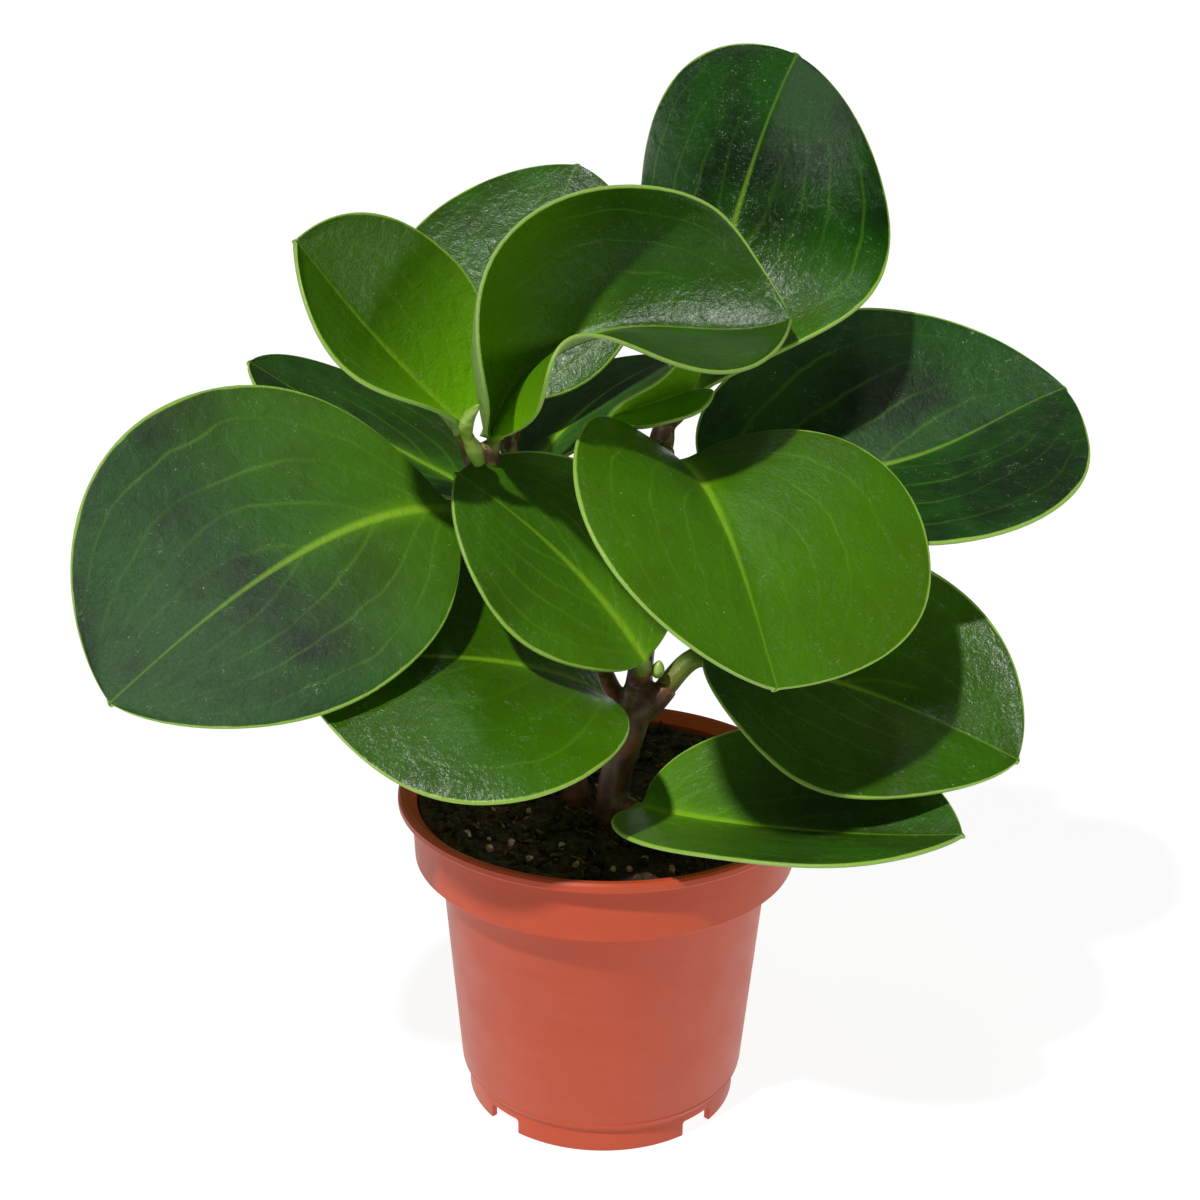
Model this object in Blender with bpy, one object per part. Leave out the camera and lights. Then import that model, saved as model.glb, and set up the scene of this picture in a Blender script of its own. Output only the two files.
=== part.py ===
"""A baby rubber plant (Peperomia obtusifolia) growing in a plastic nursery pot.

Lengths are in metres and angles in degrees, +Z up. The origin is the middle of the circle on which
the pot's feet stand. An azimuth is 0 along +X and -90 towards the front, where the plant is seen from.
"""

import math

import bmesh
import bpy
import numpy as np
from mathutils import Euler, Matrix, Vector

# The gap that pieces keep where they touch.
GAP = 0.0003

# The pot: radii and heights of its outside.
RIM_RADIUS = 0.0550
POT_HEIGHT = 0.0892
RIM_TALL = 0.0026
RIM_WIDE = 0.0026
COLLAR_TOP_RADIUS = 0.0515
COLLAR_RADIUS = 0.0507
COLLAR_BOTTOM = 0.0710
WALL_TOP_RADIUS = 0.0440
WALL_FOOT_RADIUS = 0.0385
WALL_FOOT = 0.0085
SKIRT_RADIUS = 0.0366
SKIRT_TOP = 0.0065
WALL = 0.0016
FLOOR_BOTTOM = 0.0043
NOTCH_WIDE = 0.0102
NOTCH_DEEP = 0.0120
DRAIN_RADIUS = 0.0035
DRAIN_CIRCLE = 0.0255
DIAGONALS = (45, 135, 225, 315)
POT_SEGMENTS = 48
HOLE_SEGMENTS = 20
SHARP_ANGLE = 35

# The soil fills the pot to just under the rim, and swells a little towards the middle.
SOIL_TOP = 0.0863
SOIL_SWELL = 0.0008
SOIL_RINGS = 3
HOLE_DEPTH = 0.0200

# Stems: points on the axis, each with the stem's radius there.
MAIN_STEM = (
    ((0.0018, -0.0138, 0.0665), 0.0044),
    ((0.0018, -0.0138, 0.0860), 0.0044),
    ((0.0026, -0.0133, 0.0990), 0.0041),
    ((0.0066, -0.0115, 0.1130), 0.0042),
    ((0.0086, -0.0065, 0.1260), 0.0033),
    ((0.0098, 0.0030, 0.1420), 0.0033),
    ((0.0112, 0.0094, 0.1600), 0.0033),
    ((0.0128, 0.0085, 0.1800), 0.0032),
    ((0.0138, 0.0075, 0.1885), 0.0024),
)
BACK_STEM = (
    ((-0.0078, -0.0025, 0.0665), 0.0037),
    ((-0.0078, -0.0025, 0.0860), 0.0037),
    ((-0.0110, 0.0040, 0.1080), 0.0035),
    ((-0.0165, 0.0115, 0.1350), 0.0032),
    ((-0.0235, 0.0165, 0.1600), 0.0029),
    ((-0.0260, 0.0200, 0.1740), 0.0025),
    ((-0.0265, 0.0215, 0.1790), 0.0018),
)
LEFT_BRANCH_ROOT = (0.0062, -0.0117, 0.1120)
LEFT_BRANCH = (
    ((0.0008, -0.0060, 0.1193), 0.0031),
    ((-0.0060, 0.0020, 0.1310), 0.0030),
    ((-0.0170, 0.0055, 0.1500), 0.0030),
    ((-0.0270, 0.0035, 0.1660), 0.0029),
    ((-0.0318, 0.0015, 0.1745), 0.0022),
)
HORN_BUD = (
    ((-0.0325, -0.0092, 0.1812), 0.0015),
    ((-0.0334, -0.0100, 0.1843), 0.0019),
    ((-0.0346, -0.0145, 0.1886), 0.0015),
    ((-0.0346, -0.0205, 0.1932), 0.0018),
    ((-0.0335, -0.0225, 0.1965), 0.0015),
    ((-0.0317, -0.0235, 0.1988), 0.0009),
)
SIDE_BUD_PLACE = (0.0127, -0.0133, 0.1283)
SIDE_BUD_RADIUS = 0.0018
SIDE_BUD_STRETCH = 1.35
STEM_SIDES_HALF = 3
STEM_STEP = 0.0050

# Leaves: how finely a leaf is divided, and how thick it is.
ACROSS = (-1.0, -0.76, -0.5, -0.24, 0.0, 0.24, 0.5, 0.76, 1.0)
ALONG = (0.025, 0.09, 0.19, 0.32, 0.46, 0.6, 0.74, 0.87, 0.96, 1.0)
MIDRIB_STEPS = 24
PETIOLE_RINGS = 4
PETIOLE_RADIUS = 0.0022
# Along and above the midrib, the direction in which a petiole reaches its blade.
ARRIVAL = (0.84, 0.0, 0.54)
# At the blade a petiole is wider and flatter than at its root by these shares of its radius.
PETIOLE_WIDENS = 0.3
PETIOLE_FLATTENS = 0.25
EDGE_THICK = 0.0010
RIB_THICK = 0.0012
RIB_REACH = 0.0040
TIP_HALF = 0.0012
# A small share of a leaf, over which its slope is measured.
NEARBY = 0.001

TERRACOTTA = (0.52, 0.105, 0.055)
SOIL_BROWN = (0.035, 0.024, 0.016)
STEM_BROWN = (0.17, 0.09, 0.045)
LEAF_GREEN = (0.045, 0.16, 0.02)
YOUNG_GREEN = (0.16, 0.36, 0.035)
BUD_GREEN = (0.42, 0.55, 0.13)


class Leaf:
    """One leaf: where its blade starts and points, how large it is, and how it bends.

    The petiole points away from `stem`, a place on a stem's axis, and keeps `room` from that axis. It
    starts no steeper than `steepest`, as rise over run.
    The midrib leaves `base` at azimuth `heading` and at `pitch` above level, with the left half raised
    by `roll`. Along its length it droops, sweeps to its left and twists, `early` moving that towards the
    base, and `s_bend` sweeps it one way and back. Left and right halves are raised by `fold`, by
    `base_fold` more at the base, and by `curl` more on the way out to the edge.
    """

    droop = 0
    sweep = 0
    s_bend = 0
    twist = 0
    early = 0
    lobe = 0.04
    lean = 0
    widest = 0.48
    base_round = 0.5
    tip_round = 0.6
    fold = (5, 5)
    base_fold = (5, 5)
    curl = (0, 0)
    petiole = PETIOLE_RADIUS
    steepest = 0.9
    colour = LEAF_GREEN

    def __init__(self, name, **fields):
        self.name = name
        for key, value in fields.items():
            setattr(self, key, value)

    def turn(self):
        angles = (math.radians(self.roll), -math.radians(self.pitch), math.radians(self.heading))
        return Euler(angles, "XYZ")


LEAVES = (
    Leaf(
        "leaf_left_large", stem=(-0.0290, 0.0028, 0.1695), room=0.0030,
        base=(-0.0395, -0.0060, 0.1675), heading=219, pitch=15, roll=-40,
        length=0.1000, width=0.0905, lobe=0.0, lean=-0.14, tip_round=0.68,
        droop=42, sweep=28, s_bend=3, early=1.0,
        fold=(6, -5), base_fold=(-4, -13), curl=(-9, 19),
    ),
    Leaf(
        "leaf_upper_left", stem=(-0.0322, 0.0015, 0.1738), room=0.0024, steepest=3,
        base=(-0.0365, -0.0050, 0.1880), heading=183, pitch=46, roll=-37,
        length=0.0625, width=0.0580, lobe=-0.02, lean=-0.04, tip_round=0.55,
        droop=-21, sweep=8, s_bend=3, twist=-4, early=-0.2,
        fold=(22, 10), base_fold=(32, 14), curl=(7, 7), colour=YOUNG_GREEN,
    ),
    Leaf(
        "leaf_back_top", stem=(-0.0264, 0.0213, 0.1780), room=0.0020,
        base=(-0.0261, 0.0315, 0.1862), heading=81, pitch=51, roll=2,
        length=0.0738, width=0.0695, lobe=0.03, lean=0.14,
        droop=6, sweep=-13, twist=-5,
        fold=(-3, -5), base_fold=(11, 5),
    ),
    Leaf(
        "leaf_arching", stem=(-0.0308, 0.0025, 0.1745), room=0.0022, steepest=1.5,
        base=(-0.0300, -0.0030, 0.1848), heading=68, pitch=61, roll=-44,
        length=0.0879, width=0.1101, widest=0.28, lobe=0.06, lean=-0.20,
        base_round=0.56, tip_round=0.54,
        droop=38, sweep=-43, s_bend=31, twist=71, early=2.9,
        fold=(-19, 63), base_fold=(162, -59), curl=(92, 4),
    ),
    Leaf(
        "leaf_top_right", stem=(0.0138, 0.0077, 0.1870), room=0.0026,
        base=(0.0210, 0.0140, 0.1930), heading=74, pitch=60, roll=-5,
        length=0.0890, width=0.0785, widest=0.58, lobe=-0.06, lean=-0.05,
        base_round=0.55, tip_round=0.56,
        droop=-24, sweep=-19, s_bend=-6, twist=43, early=0.1,
        fold=(-24, -8), base_fold=(-18, 40), curl=(-40, -12),
    ),
    Leaf(
        "leaf_right", stem=(0.0113, 0.0093, 0.1600), room=0.0036,
        base=(0.0270, 0.0120, 0.1680), heading=11, pitch=9, roll=34,
        length=0.1020, width=0.0880, widest=0.55, lobe=0.14, lean=0.05,
        base_round=0.48, tip_round=0.65,
        droop=1, sweep=12, s_bend=-30, early=0.1,
        fold=(0, 16), base_fold=(4, 26), curl=(29, 0),
    ),
    Leaf(
        "leaf_front_heart", stem=(0.0127, 0.0087, 0.1790), room=0.0032,
        base=(0.0170, -0.0150, 0.1835), heading=-68, pitch=-3, roll=-13,
        length=0.0735, width=0.0960, widest=0.45, lobe=0.13, lean=0.10,
        tip_round=0.55,
        droop=35, sweep=3, early=1.3,
        fold=(8, 13), base_fold=(23, 12), curl=(-13, -11),
    ),
    Leaf(
        "leaf_middle", stem=(0.0081, -0.0085, 0.1235), room=0.0035,
        base=(0.0090, -0.0170, 0.1320), heading=167, pitch=58, roll=-24,
        length=0.0665, width=0.0580, lobe=-0.02, tip_round=0.64,
        droop=22, sweep=15, twist=5, early=0.2,
        fold=(0, 3), base_fold=(13, 15), curl=(-10, 7),
    ),
    Leaf(
        "leaf_lower_left", stem=(0.0052, -0.0120, 0.1090), room=0.0042,
        base=(-0.0010, -0.0180, 0.1230), heading=207, pitch=37, roll=-25,
        length=0.0820, width=0.0835, widest=0.44, lobe=0.03, lean=0.06,
        droop=46, sweep=9, s_bend=8, twist=-9, early=0.3,
        fold=(4, -1), base_fold=(26, -1), curl=(-23, 0),
    ),
    Leaf(
        "leaf_lower_right", stem=(0.0064, -0.0118, 0.1135), room=0.0049,
        base=(0.0245, -0.0080, 0.1310), heading=-13, pitch=-5, roll=30,
        length=0.0830, width=0.0775, widest=0.46, lobe=-0.01, petiole=0.0028,
        base_round=0.54, tip_round=0.63,
        droop=8, sweep=-16, s_bend=5, twist=-6,
        fold=(12, 13), base_fold=(10, 17), curl=(10, -16),
    ),
    Leaf(
        "leaf_over_rim", stem=(0.0020, -0.0137, 0.0900), room=0.0043,
        base=(0.0090, -0.0210, 0.0930), heading=-34, pitch=5, roll=9,
        length=0.0845, width=0.0635, lobe=0.09, lean=-0.04,
        base_round=0.47,
        droop=-3, sweep=20, s_bend=3, twist=-2, early=-0.2,
        fold=(21, 20), base_fold=(0, 3), curl=(19, -6),
    ),
    Leaf(
        "leaf_back_left", stem=(-0.0230, 0.0163, 0.1570), room=0.0033,
        base=(-0.0350, 0.0300, 0.1605), heading=169, pitch=24, roll=-3,
        length=0.0700, width=0.0560,
        droop=-8, sweep=5, fold=(6, 5),
    ),
    Leaf(
        "leaf_back_middle", stem=(-0.0205, 0.0143, 0.1490), room=0.0037,
        base=(-0.0200, 0.0270, 0.1690), heading=53, pitch=35, roll=-14,
        length=0.0640, width=0.0620,
        droop=34, sweep=-7, fold=(-1, 5), base_fold=(-3, 5), curl=(3, 0),
    ),
    Leaf(
        "leaf_young_rolled", stem=(0.0138, 0.0077, 0.1885), room=0.0024,
        base=(0.0198, 0.0002, 0.1972), heading=217, pitch=-6, roll=-33,
        length=0.0265, width=0.0315, widest=0.44, lobe=0.16, petiole=0.0014,
        droop=-3, sweep=2, s_bend=-3, twist=-22,
        fold=(33, 80), base_fold=(6, -1), curl=(26, 15), colour=YOUNG_GREEN,
    ),
    # The photo hides whatever grows behind. These three are guessed, like the others in size and habit.
    Leaf(
        "leaf_rear_left", stem=(-0.0135, 0.0072, 0.1200), room=0.0056,
        base=(-0.0250, 0.0190, 0.1320), heading=128, pitch=33, roll=-6,
        length=0.0780, width=0.0640, droop=24, sweep=6,
    ),
    Leaf(
        "leaf_rear_right", stem=(0.0103, 0.0050, 0.1460), room=0.0040,
        base=(0.0180, 0.0150, 0.1480), heading=62, pitch=10, roll=5,
        length=0.0760, width=0.0660, droop=24, sweep=-6,
    ),
    Leaf(
        "leaf_rear_low", stem=(-0.0092, 0.0004, 0.0960), room=0.0054,
        base=(-0.0160, 0.0130, 0.1060), heading=118, pitch=8, roll=3,
        length=0.0700, width=0.0580, droop=20, sweep=4,
    ),
)


def clear_scene():
    for item in list(bpy.data.objects):
        bpy.data.objects.remove(item, do_unlink=True)


def material(name, colour, roughness):
    made = bpy.data.materials.new(name)
    made.use_nodes = True
    shader = made.node_tree.nodes["Principled BSDF"]
    shader.inputs["Base Color"].default_value = (*colour, 1.0)
    shader.inputs["Roughness"].default_value = roughness
    shader.inputs["Metallic"].default_value = 0.0
    return made


def add_object(name, mesh, paint=None):
    made = bpy.data.objects.new(name, mesh)
    if paint:
        mesh.materials.append(paint)
    bpy.context.scene.collection.objects.link(made)
    return made


def shade(mesh):
    mesh.shade_smooth()
    mesh.set_sharp_from_angle(angle=math.radians(SHARP_ANGLE))


def mesh_of(name, builder):
    mesh = bpy.data.meshes.new(name)
    builder.to_mesh(mesh)
    builder.free()
    return mesh


def cut(target, cutter):
    """Takes the cutter's shape out of the target, and keeps the cutter as a guide only."""
    cutter.hide_render = True
    cutter.display_type = "WIRE"
    modifier = target.modifiers.new("cut " + cutter.name, "BOOLEAN")
    modifier.operation = "DIFFERENCE"
    modifier.object = cutter


def turned(name, profile, segments, paint):
    """A closed body turned about Z. The profile runs from the axis at the bottom to the axis at the top."""
    builder = bmesh.new()
    rings = []
    for radius, height in profile:
        if radius == 0:
            rings.append([builder.verts.new((0, 0, height))] * segments)
            continue
        ring = []
        for step in range(segments):
            angle = 2 * math.pi * step / segments
            ring.append(builder.verts.new((radius * math.cos(angle), radius * math.sin(angle), height)))
        rings.append(ring)
    for lower, upper in zip(rings, rings[1:]):
        for step in range(segments):
            after = (step + 1) % segments
            corners = [lower[step], lower[after], upper[after], upper[step]]
            builder.faces.new(list(dict.fromkeys(corners)))
    mesh = mesh_of(name, builder)
    shade(mesh)
    return add_object(name, mesh, paint)


def pot_inside_radius(height):
    """The inner wall's radius at a height, parallel to the outside."""
    share = (height - WALL_FOOT) / (COLLAR_BOTTOM - WALL_FOOT)
    return WALL_FOOT_RADIUS + share * (WALL_TOP_RADIUS - WALL_FOOT_RADIUS) - WALL


def add_pot():
    paint = material("terracotta plastic", TERRACOTTA, 0.42)
    floor_top = FLOOR_BOTTOM + WALL
    step_inside = COLLAR_BOTTOM + WALL
    profile = [
        (0, FLOOR_BOTTOM),
        (SKIRT_RADIUS - WALL, FLOOR_BOTTOM),
        (SKIRT_RADIUS - WALL, 0),
        (SKIRT_RADIUS, 0),
        (SKIRT_RADIUS, SKIRT_TOP),
        (WALL_FOOT_RADIUS, WALL_FOOT),
        (WALL_TOP_RADIUS, COLLAR_BOTTOM),
        (COLLAR_RADIUS, COLLAR_BOTTOM),
        (COLLAR_TOP_RADIUS, POT_HEIGHT - RIM_TALL),
        (RIM_RADIUS, POT_HEIGHT - RIM_TALL),
        (RIM_RADIUS, POT_HEIGHT),
        (RIM_RADIUS - RIM_WIDE, POT_HEIGHT),
        (COLLAR_TOP_RADIUS - WALL, POT_HEIGHT - RIM_TALL),
        (COLLAR_RADIUS - WALL, step_inside),
        (pot_inside_radius(step_inside), step_inside),
        (pot_inside_radius(floor_top), floor_top),
        (0, floor_top),
    ]
    pot = turned("pot", profile, POT_SEGMENTS, paint)
    for azimuth in DIAGONALS:
        angle = math.radians(azimuth)
        notch = add_box(f"notch_{azimuth}", (NOTCH_DEEP, NOTCH_WIDE, 2 * FLOOR_BOTTOM))
        notch.location = (SKIRT_RADIUS * math.cos(angle), SKIRT_RADIUS * math.sin(angle), 0)
        notch.rotation_euler = (0, 0, angle)
        cut(pot, notch)
        drain = add_rod(f"drain_{azimuth}", DRAIN_RADIUS, 4 * FLOOR_BOTTOM)
        drain.location = (DRAIN_CIRCLE * math.cos(angle), DRAIN_CIRCLE * math.sin(angle), FLOOR_BOTTOM)
        cut(pot, drain)


def add_box(name, size):
    builder = bmesh.new()
    bmesh.ops.create_cube(builder, size=1, matrix=Matrix.Diagonal((*size, 1)))
    return add_object(name, mesh_of(name, builder))


def add_rod(name, radius, length):
    builder = bmesh.new()
    bmesh.ops.create_cone(
        builder, cap_ends=True, segments=HOLE_SEGMENTS, radius1=radius, radius2=radius, depth=length
    )
    return add_object(name, mesh_of(name, builder))


def soil_height(radius, outer):
    return SOIL_TOP + SOIL_SWELL * math.cos(0.5 * math.pi * radius / outer)


def add_soil():
    paint = material("potting soil", SOIL_BROWN, 0.95)
    bottom = FLOOR_BOTTOM + WALL + GAP
    step_inside = COLLAR_BOTTOM + WALL + GAP
    outer = COLLAR_TOP_RADIUS - WALL - GAP
    profile = [
        (0, bottom),
        (pot_inside_radius(bottom) - GAP, bottom),
        (pot_inside_radius(step_inside) - GAP, step_inside),
        (COLLAR_RADIUS - WALL - GAP, step_inside),
    ]
    for ring in range(SOIL_RINGS):
        radius = outer * (1 - ring / SOIL_RINGS)
        profile.append((radius, soil_height(radius, outer)))
    profile.append((0, soil_height(0, outer)))
    soil = turned("soil", profile, POT_SEGMENTS, paint)
    for name, stem in (("main_stem_hole", MAIN_STEM), ("back_stem_hole", BACK_STEM)):
        (x, y, z), radius = stem[0]
        hole = add_rod(name, radius + 2 * GAP, 2 * HOLE_DEPTH)
        hole.location = (x, y, z - GAP + HOLE_DEPTH)
        cut(soil, hole)


def smooth_path(points):
    """Points every few millimetres on a smooth curve through (place, radius) pairs."""
    values = np.array([(*place, radius) for place, radius in points])
    before = np.vstack([2 * values[0] - values[1], values[:-1]])
    after = np.vstack([values[1:], 2 * values[-1] - values[-2]])
    slopes = (after - before) / 2
    path = []
    for index in range(len(values) - 1):
        start, end = values[index], values[index + 1]
        leave, reach = slopes[index], slopes[index + 1]
        pieces = max(2, round(np.linalg.norm(end[:3] - start[:3]) / STEM_STEP))
        for step in range(pieces):
            u = step / pieces
            path.append(
                (2 * u**3 - 3 * u**2 + 1) * start + (u**3 - 2 * u**2 + u) * leave
                + (3 * u**2 - 2 * u**3) * end + (u**3 - u**2) * reach
            )
    path.append(values[-1])
    return np.array(path)


def add_stem(name, points, paint):
    """A curve tube along the points, closed at both ends."""
    path = smooth_path(points)
    curve = bpy.data.curves.new(name, "CURVE")
    curve.dimensions = "3D"
    curve.bevel_depth = 1.0
    curve.bevel_resolution = STEM_SIDES_HALF
    curve.use_fill_caps = True
    spline = curve.splines.new("POLY")
    spline.points.add(len(path) - 1)
    for point, (x, y, z, radius) in zip(spline.points, path):
        point.co = (x, y, z, 1)
        point.radius = radius
    return add_object(name, curve, paint)


def clear_start(room, leave, radius):
    """How far from an upright stem's axis a branch starts, so that its flat end keeps `room` from the axis."""
    return (room + GAP + radius * abs(leave.z)) / leave.xy.length


def add_stems():
    paint = material("brown stem", STEM_BROWN, 0.55)
    add_stem("stem_main", MAIN_STEM, paint)
    add_stem("stem_back", BACK_STEM, paint)
    root = Vector(LEFT_BRANCH_ROOT)
    leave = (Vector(LEFT_BRANCH[0][0]) - root).normalized()
    radius = LEFT_BRANCH[0][1]
    start = root + leave * clear_start(MAIN_STEM[3][1], leave, radius)
    add_stem("stem_left_branch", ((tuple(start), radius), *LEFT_BRANCH[1:]), paint)


def add_buds():
    paint = material("bud", BUD_GREEN, 0.4)
    add_stem("bud_horn", HORN_BUD, paint)
    builder = bmesh.new()
    bmesh.ops.create_uvsphere(builder, u_segments=12, v_segments=8, radius=SIDE_BUD_RADIUS)
    bmesh.ops.scale(builder, vec=(1, 1, SIDE_BUD_STRETCH), verts=builder.verts)
    bud = add_object("bud_side", mesh_of("bud_side", builder), paint)
    bud.data.shade_smooth()
    bud.location = SIDE_BUD_PLACE


def midrib(leaf):
    """Points and frames (along, left, up) on the midrib, from the blade's base at the local origin."""
    along, left, up = np.eye(3)
    place = np.zeros(3)
    stations = [(place, along, left, up)]
    for step in range(MIDRIB_STEPS):
        u = (step + 0.5) / MIDRIB_STEPS
        weight = (1 + leaf.early * (1 - 2 * u)) / MIDRIB_STEPS
        droop = math.radians(leaf.droop) * weight
        sweep = math.radians(leaf.sweep) * weight
        sweep += math.radians(leaf.s_bend) * 2 * math.cos(2 * math.pi * u) / MIDRIB_STEPS
        twist = math.radians(leaf.twist) / MIDRIB_STEPS
        ahead = along - droop * up + sweep * left
        middle = (along + ahead) / np.linalg.norm(along + ahead)
        place = place + middle * leaf.length / MIDRIB_STEPS
        along = ahead / np.linalg.norm(ahead)
        left = left + twist * up
        left = left - along * (left @ along)
        left = left / np.linalg.norm(left)
        up = np.cross(along, left)
        stations.append((place, along, left, up))
    return [np.array(column) for column in zip(*stations)]


def half_width(leaf, s):
    """The blade's half width at a share s of its length, as a share of its greatest."""
    before = np.clip((leaf.widest - s) / leaf.widest, 0, 1)
    after = np.clip((s - leaf.widest) / (1 - leaf.widest), 0, 1)
    return (1 - before**2) ** leaf.base_round * (1 - after**2) ** leaf.tip_round


def blade_points(leaf, s, v):
    """The middle surface of the blade at shares s of its length and v of its half width, left positive."""
    places = np.linspace(0, 1, MIDRIB_STEPS + 1)
    rib, along, left, up = (
        np.stack([np.interp(s, places, column[:, axis]) for axis in range(3)], -1)[:, None]
        for column in midrib(leaf)
    )
    s, v = s[:, None], v[None, :]
    leftward = v >= 0
    half = leaf.width / 2 * np.where(leftward, 1 + leaf.lean, 1 - leaf.lean)
    fullness = half_width(leaf, s)
    out = np.abs(v) * np.maximum(half * fullness, TIP_HALF)
    at_base = (1 - s) ** 2

    def both(pair):
        return np.radians(np.where(leftward, pair[0], pair[1]))

    slope = both(leaf.fold) + both(leaf.base_fold) * at_base
    bend = both(leaf.curl) / half + 1e-6
    sideways = (np.sin(slope + bend * out) - np.sin(slope)) / bend * np.where(leftward, 1, -1)
    raised = (np.cos(slope) - np.cos(slope + bend * out)) / bend
    swept = leaf.lobe * leaf.length * fullness * (1 - s) ** 3 * np.abs(v) ** 1.5
    points = rib + sideways[..., None] * left + raised[..., None] * up - swept[..., None] * along
    return points, out


def blade_rings(leaf):
    """Closed rings around the blade, each across the top from right to left and back underneath."""
    s, v = np.array(ALONG), np.array(ACROSS)
    points, out = blade_points(leaf, s, v)
    ahead = blade_points(leaf, np.minimum(s + NEARBY, 1), v)[0] - blade_points(leaf, s - NEARBY, v)[0]
    across = points - blade_points(leaf, s, v - np.sign(v) * NEARBY)[0]
    middle = len(v) // 2
    across[:, :middle] *= -1
    across[:, middle] = points[:, middle + 1] - points[:, middle - 1]
    normals = np.cross(ahead, across)
    normals /= np.linalg.norm(normals, axis=2, keepdims=True)
    top = points + normals * EDGE_THICK / 2
    rib = RIB_THICK * np.exp(-((out / RIB_REACH) ** 2)) * (1 - s[:, None])
    bottom = points - normals * (EDGE_THICK / 2 + rib)[..., None]
    return [np.concatenate([upper, lower[::-1]]) for upper, lower in zip(top, bottom)]


def petiole_rings(leaf, start, leave):
    """Rings from the petiole's root, where it points along `leave`, to the blade's base, in local lengths."""
    start, leave = np.array(start), np.array(leave)
    reach = np.linalg.norm(start)
    arrive = np.array(ARRIVAL)
    first = start + leave * reach / 3
    last = -arrive * reach / 3
    shares = np.linspace(0, 1, PETIOLE_RINGS)[:, None]
    path = (1 - shares) ** 3 * start + 3 * (1 - shares) ** 2 * shares * first
    path = path + 3 * (1 - shares) * shares**2 * last
    slopes = 3 * (1 - shares) ** 2 * (first - start) + 6 * (1 - shares) * shares * (last - first)
    slopes = slopes - 3 * shares**2 * last
    count = len(ACROSS)
    angles = math.pi - math.pi * (np.arange(2 * count) + 0.5) / count
    left = np.array([0.0, 1.0, 0.0])
    rings = []
    for share, place, slope in zip(shares[::-1, 0], path[::-1], slopes[::-1]):
        slope = slope / np.linalg.norm(slope)
        left = left - slope * (left @ slope)
        left = left / np.linalg.norm(left)
        up = np.cross(slope, left)
        wide = leaf.petiole * (1 + PETIOLE_WIDENS * share**3)
        tall = leaf.petiole * (1 - PETIOLE_FLATTENS * share**3)
        rings.append(place + wide * np.cos(angles)[:, None] * left + tall * np.sin(angles)[:, None] * up)
    return rings[::-1]


def loft(rings):
    """Triangles through closed rings, split alike on the blade's two faces, with both ends closed."""
    around = len(rings[0])
    half = around // 2
    faces = []
    for ring in range(len(rings) - 1):
        for step in range(around):
            a, b = ring * around + step, ring * around + (step + 1) % around
            c, d = a + around, b + around
            faces += [(a, c, d), (a, d, b)] if step < half else [(a, c, b), (b, c, d)]
    last = (len(rings) - 1) * around
    faces.append(tuple(range(around)))
    for step in range(half - 1):
        a, b = last + step, last + step + 1
        c, d = last + around - 1 - step, last + around - 2 - step
        faces += [(a, c, d), (a, d, b)]
    return np.concatenate(rings), faces


def add_leaf(leaf):
    place = Matrix.LocRotScale(Vector(leaf.base), leaf.turn(), None)
    towards = Vector(leaf.base) - Vector(leaf.stem)
    towards.z = min(towards.z, leaf.steepest * towards.xy.length)
    leave = towards.normalized()
    start = Vector(leaf.stem) + leave * clear_start(leaf.room, leave, leaf.petiole)
    into_leaf = place.inverted()
    petiole = petiole_rings(leaf, into_leaf @ start, into_leaf.to_3x3() @ leave)
    vertices, faces = loft(petiole + blade_rings(leaf))
    mesh = bpy.data.meshes.new(leaf.name)
    mesh.from_pydata(vertices.tolist(), [], faces)
    shade(mesh)
    made = add_object(leaf.name, mesh, material(leaf.name, leaf.colour, 0.32))
    made.matrix_world = place


def main():
    clear_scene()
    add_pot()
    add_soil()
    add_stems()
    add_buds()
    for leaf in LEAVES:
        add_leaf(leaf)


if __name__ == "__main__":
    main()
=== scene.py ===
# %% [markdown]
# # A baby rubber plant in a nursery pot
# The plant has a plastic pot, dark potting soil, soft brown stems, two buds and seventeen thick leaves.
# Plain solids of all of them already stand in the right places.
# This cell brings those solids in.

# %% Bring in the solids
import math
import random

import bpy
import numpy as np
from mathutils import Euler, Matrix, Vector


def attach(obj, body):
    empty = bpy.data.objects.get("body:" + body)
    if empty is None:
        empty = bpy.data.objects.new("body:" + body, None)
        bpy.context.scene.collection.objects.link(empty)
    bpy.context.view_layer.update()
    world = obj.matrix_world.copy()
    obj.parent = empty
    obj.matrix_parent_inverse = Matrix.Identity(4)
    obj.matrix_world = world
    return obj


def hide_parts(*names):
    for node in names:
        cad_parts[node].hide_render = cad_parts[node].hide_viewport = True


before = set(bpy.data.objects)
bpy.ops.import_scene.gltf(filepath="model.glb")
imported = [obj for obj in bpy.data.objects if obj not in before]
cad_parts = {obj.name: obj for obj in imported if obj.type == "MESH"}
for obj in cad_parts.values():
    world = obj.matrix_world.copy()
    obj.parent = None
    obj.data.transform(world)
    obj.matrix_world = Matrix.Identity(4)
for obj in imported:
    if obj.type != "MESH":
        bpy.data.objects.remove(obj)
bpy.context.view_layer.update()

# %% [markdown]
# ## The camera
# A photograph is matched first by its viewpoint.
# This one was taken with a long lens, from a little above, with the camera tipped by less than a degree.
# Placing the camera before anything else means that every later picture can be compared with the real plant.
# The plain colour view is set as well, because a catalogue photograph keeps its whites white.

# %% Place the camera
LENS = 60
DISTANCE = 0.51354
LOOK_DOWN = math.radians(20.494)
TIPPED = math.radians(0.8)
LOOK_AT = Vector((-0.0021, 0.0, 0.14182))

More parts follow.
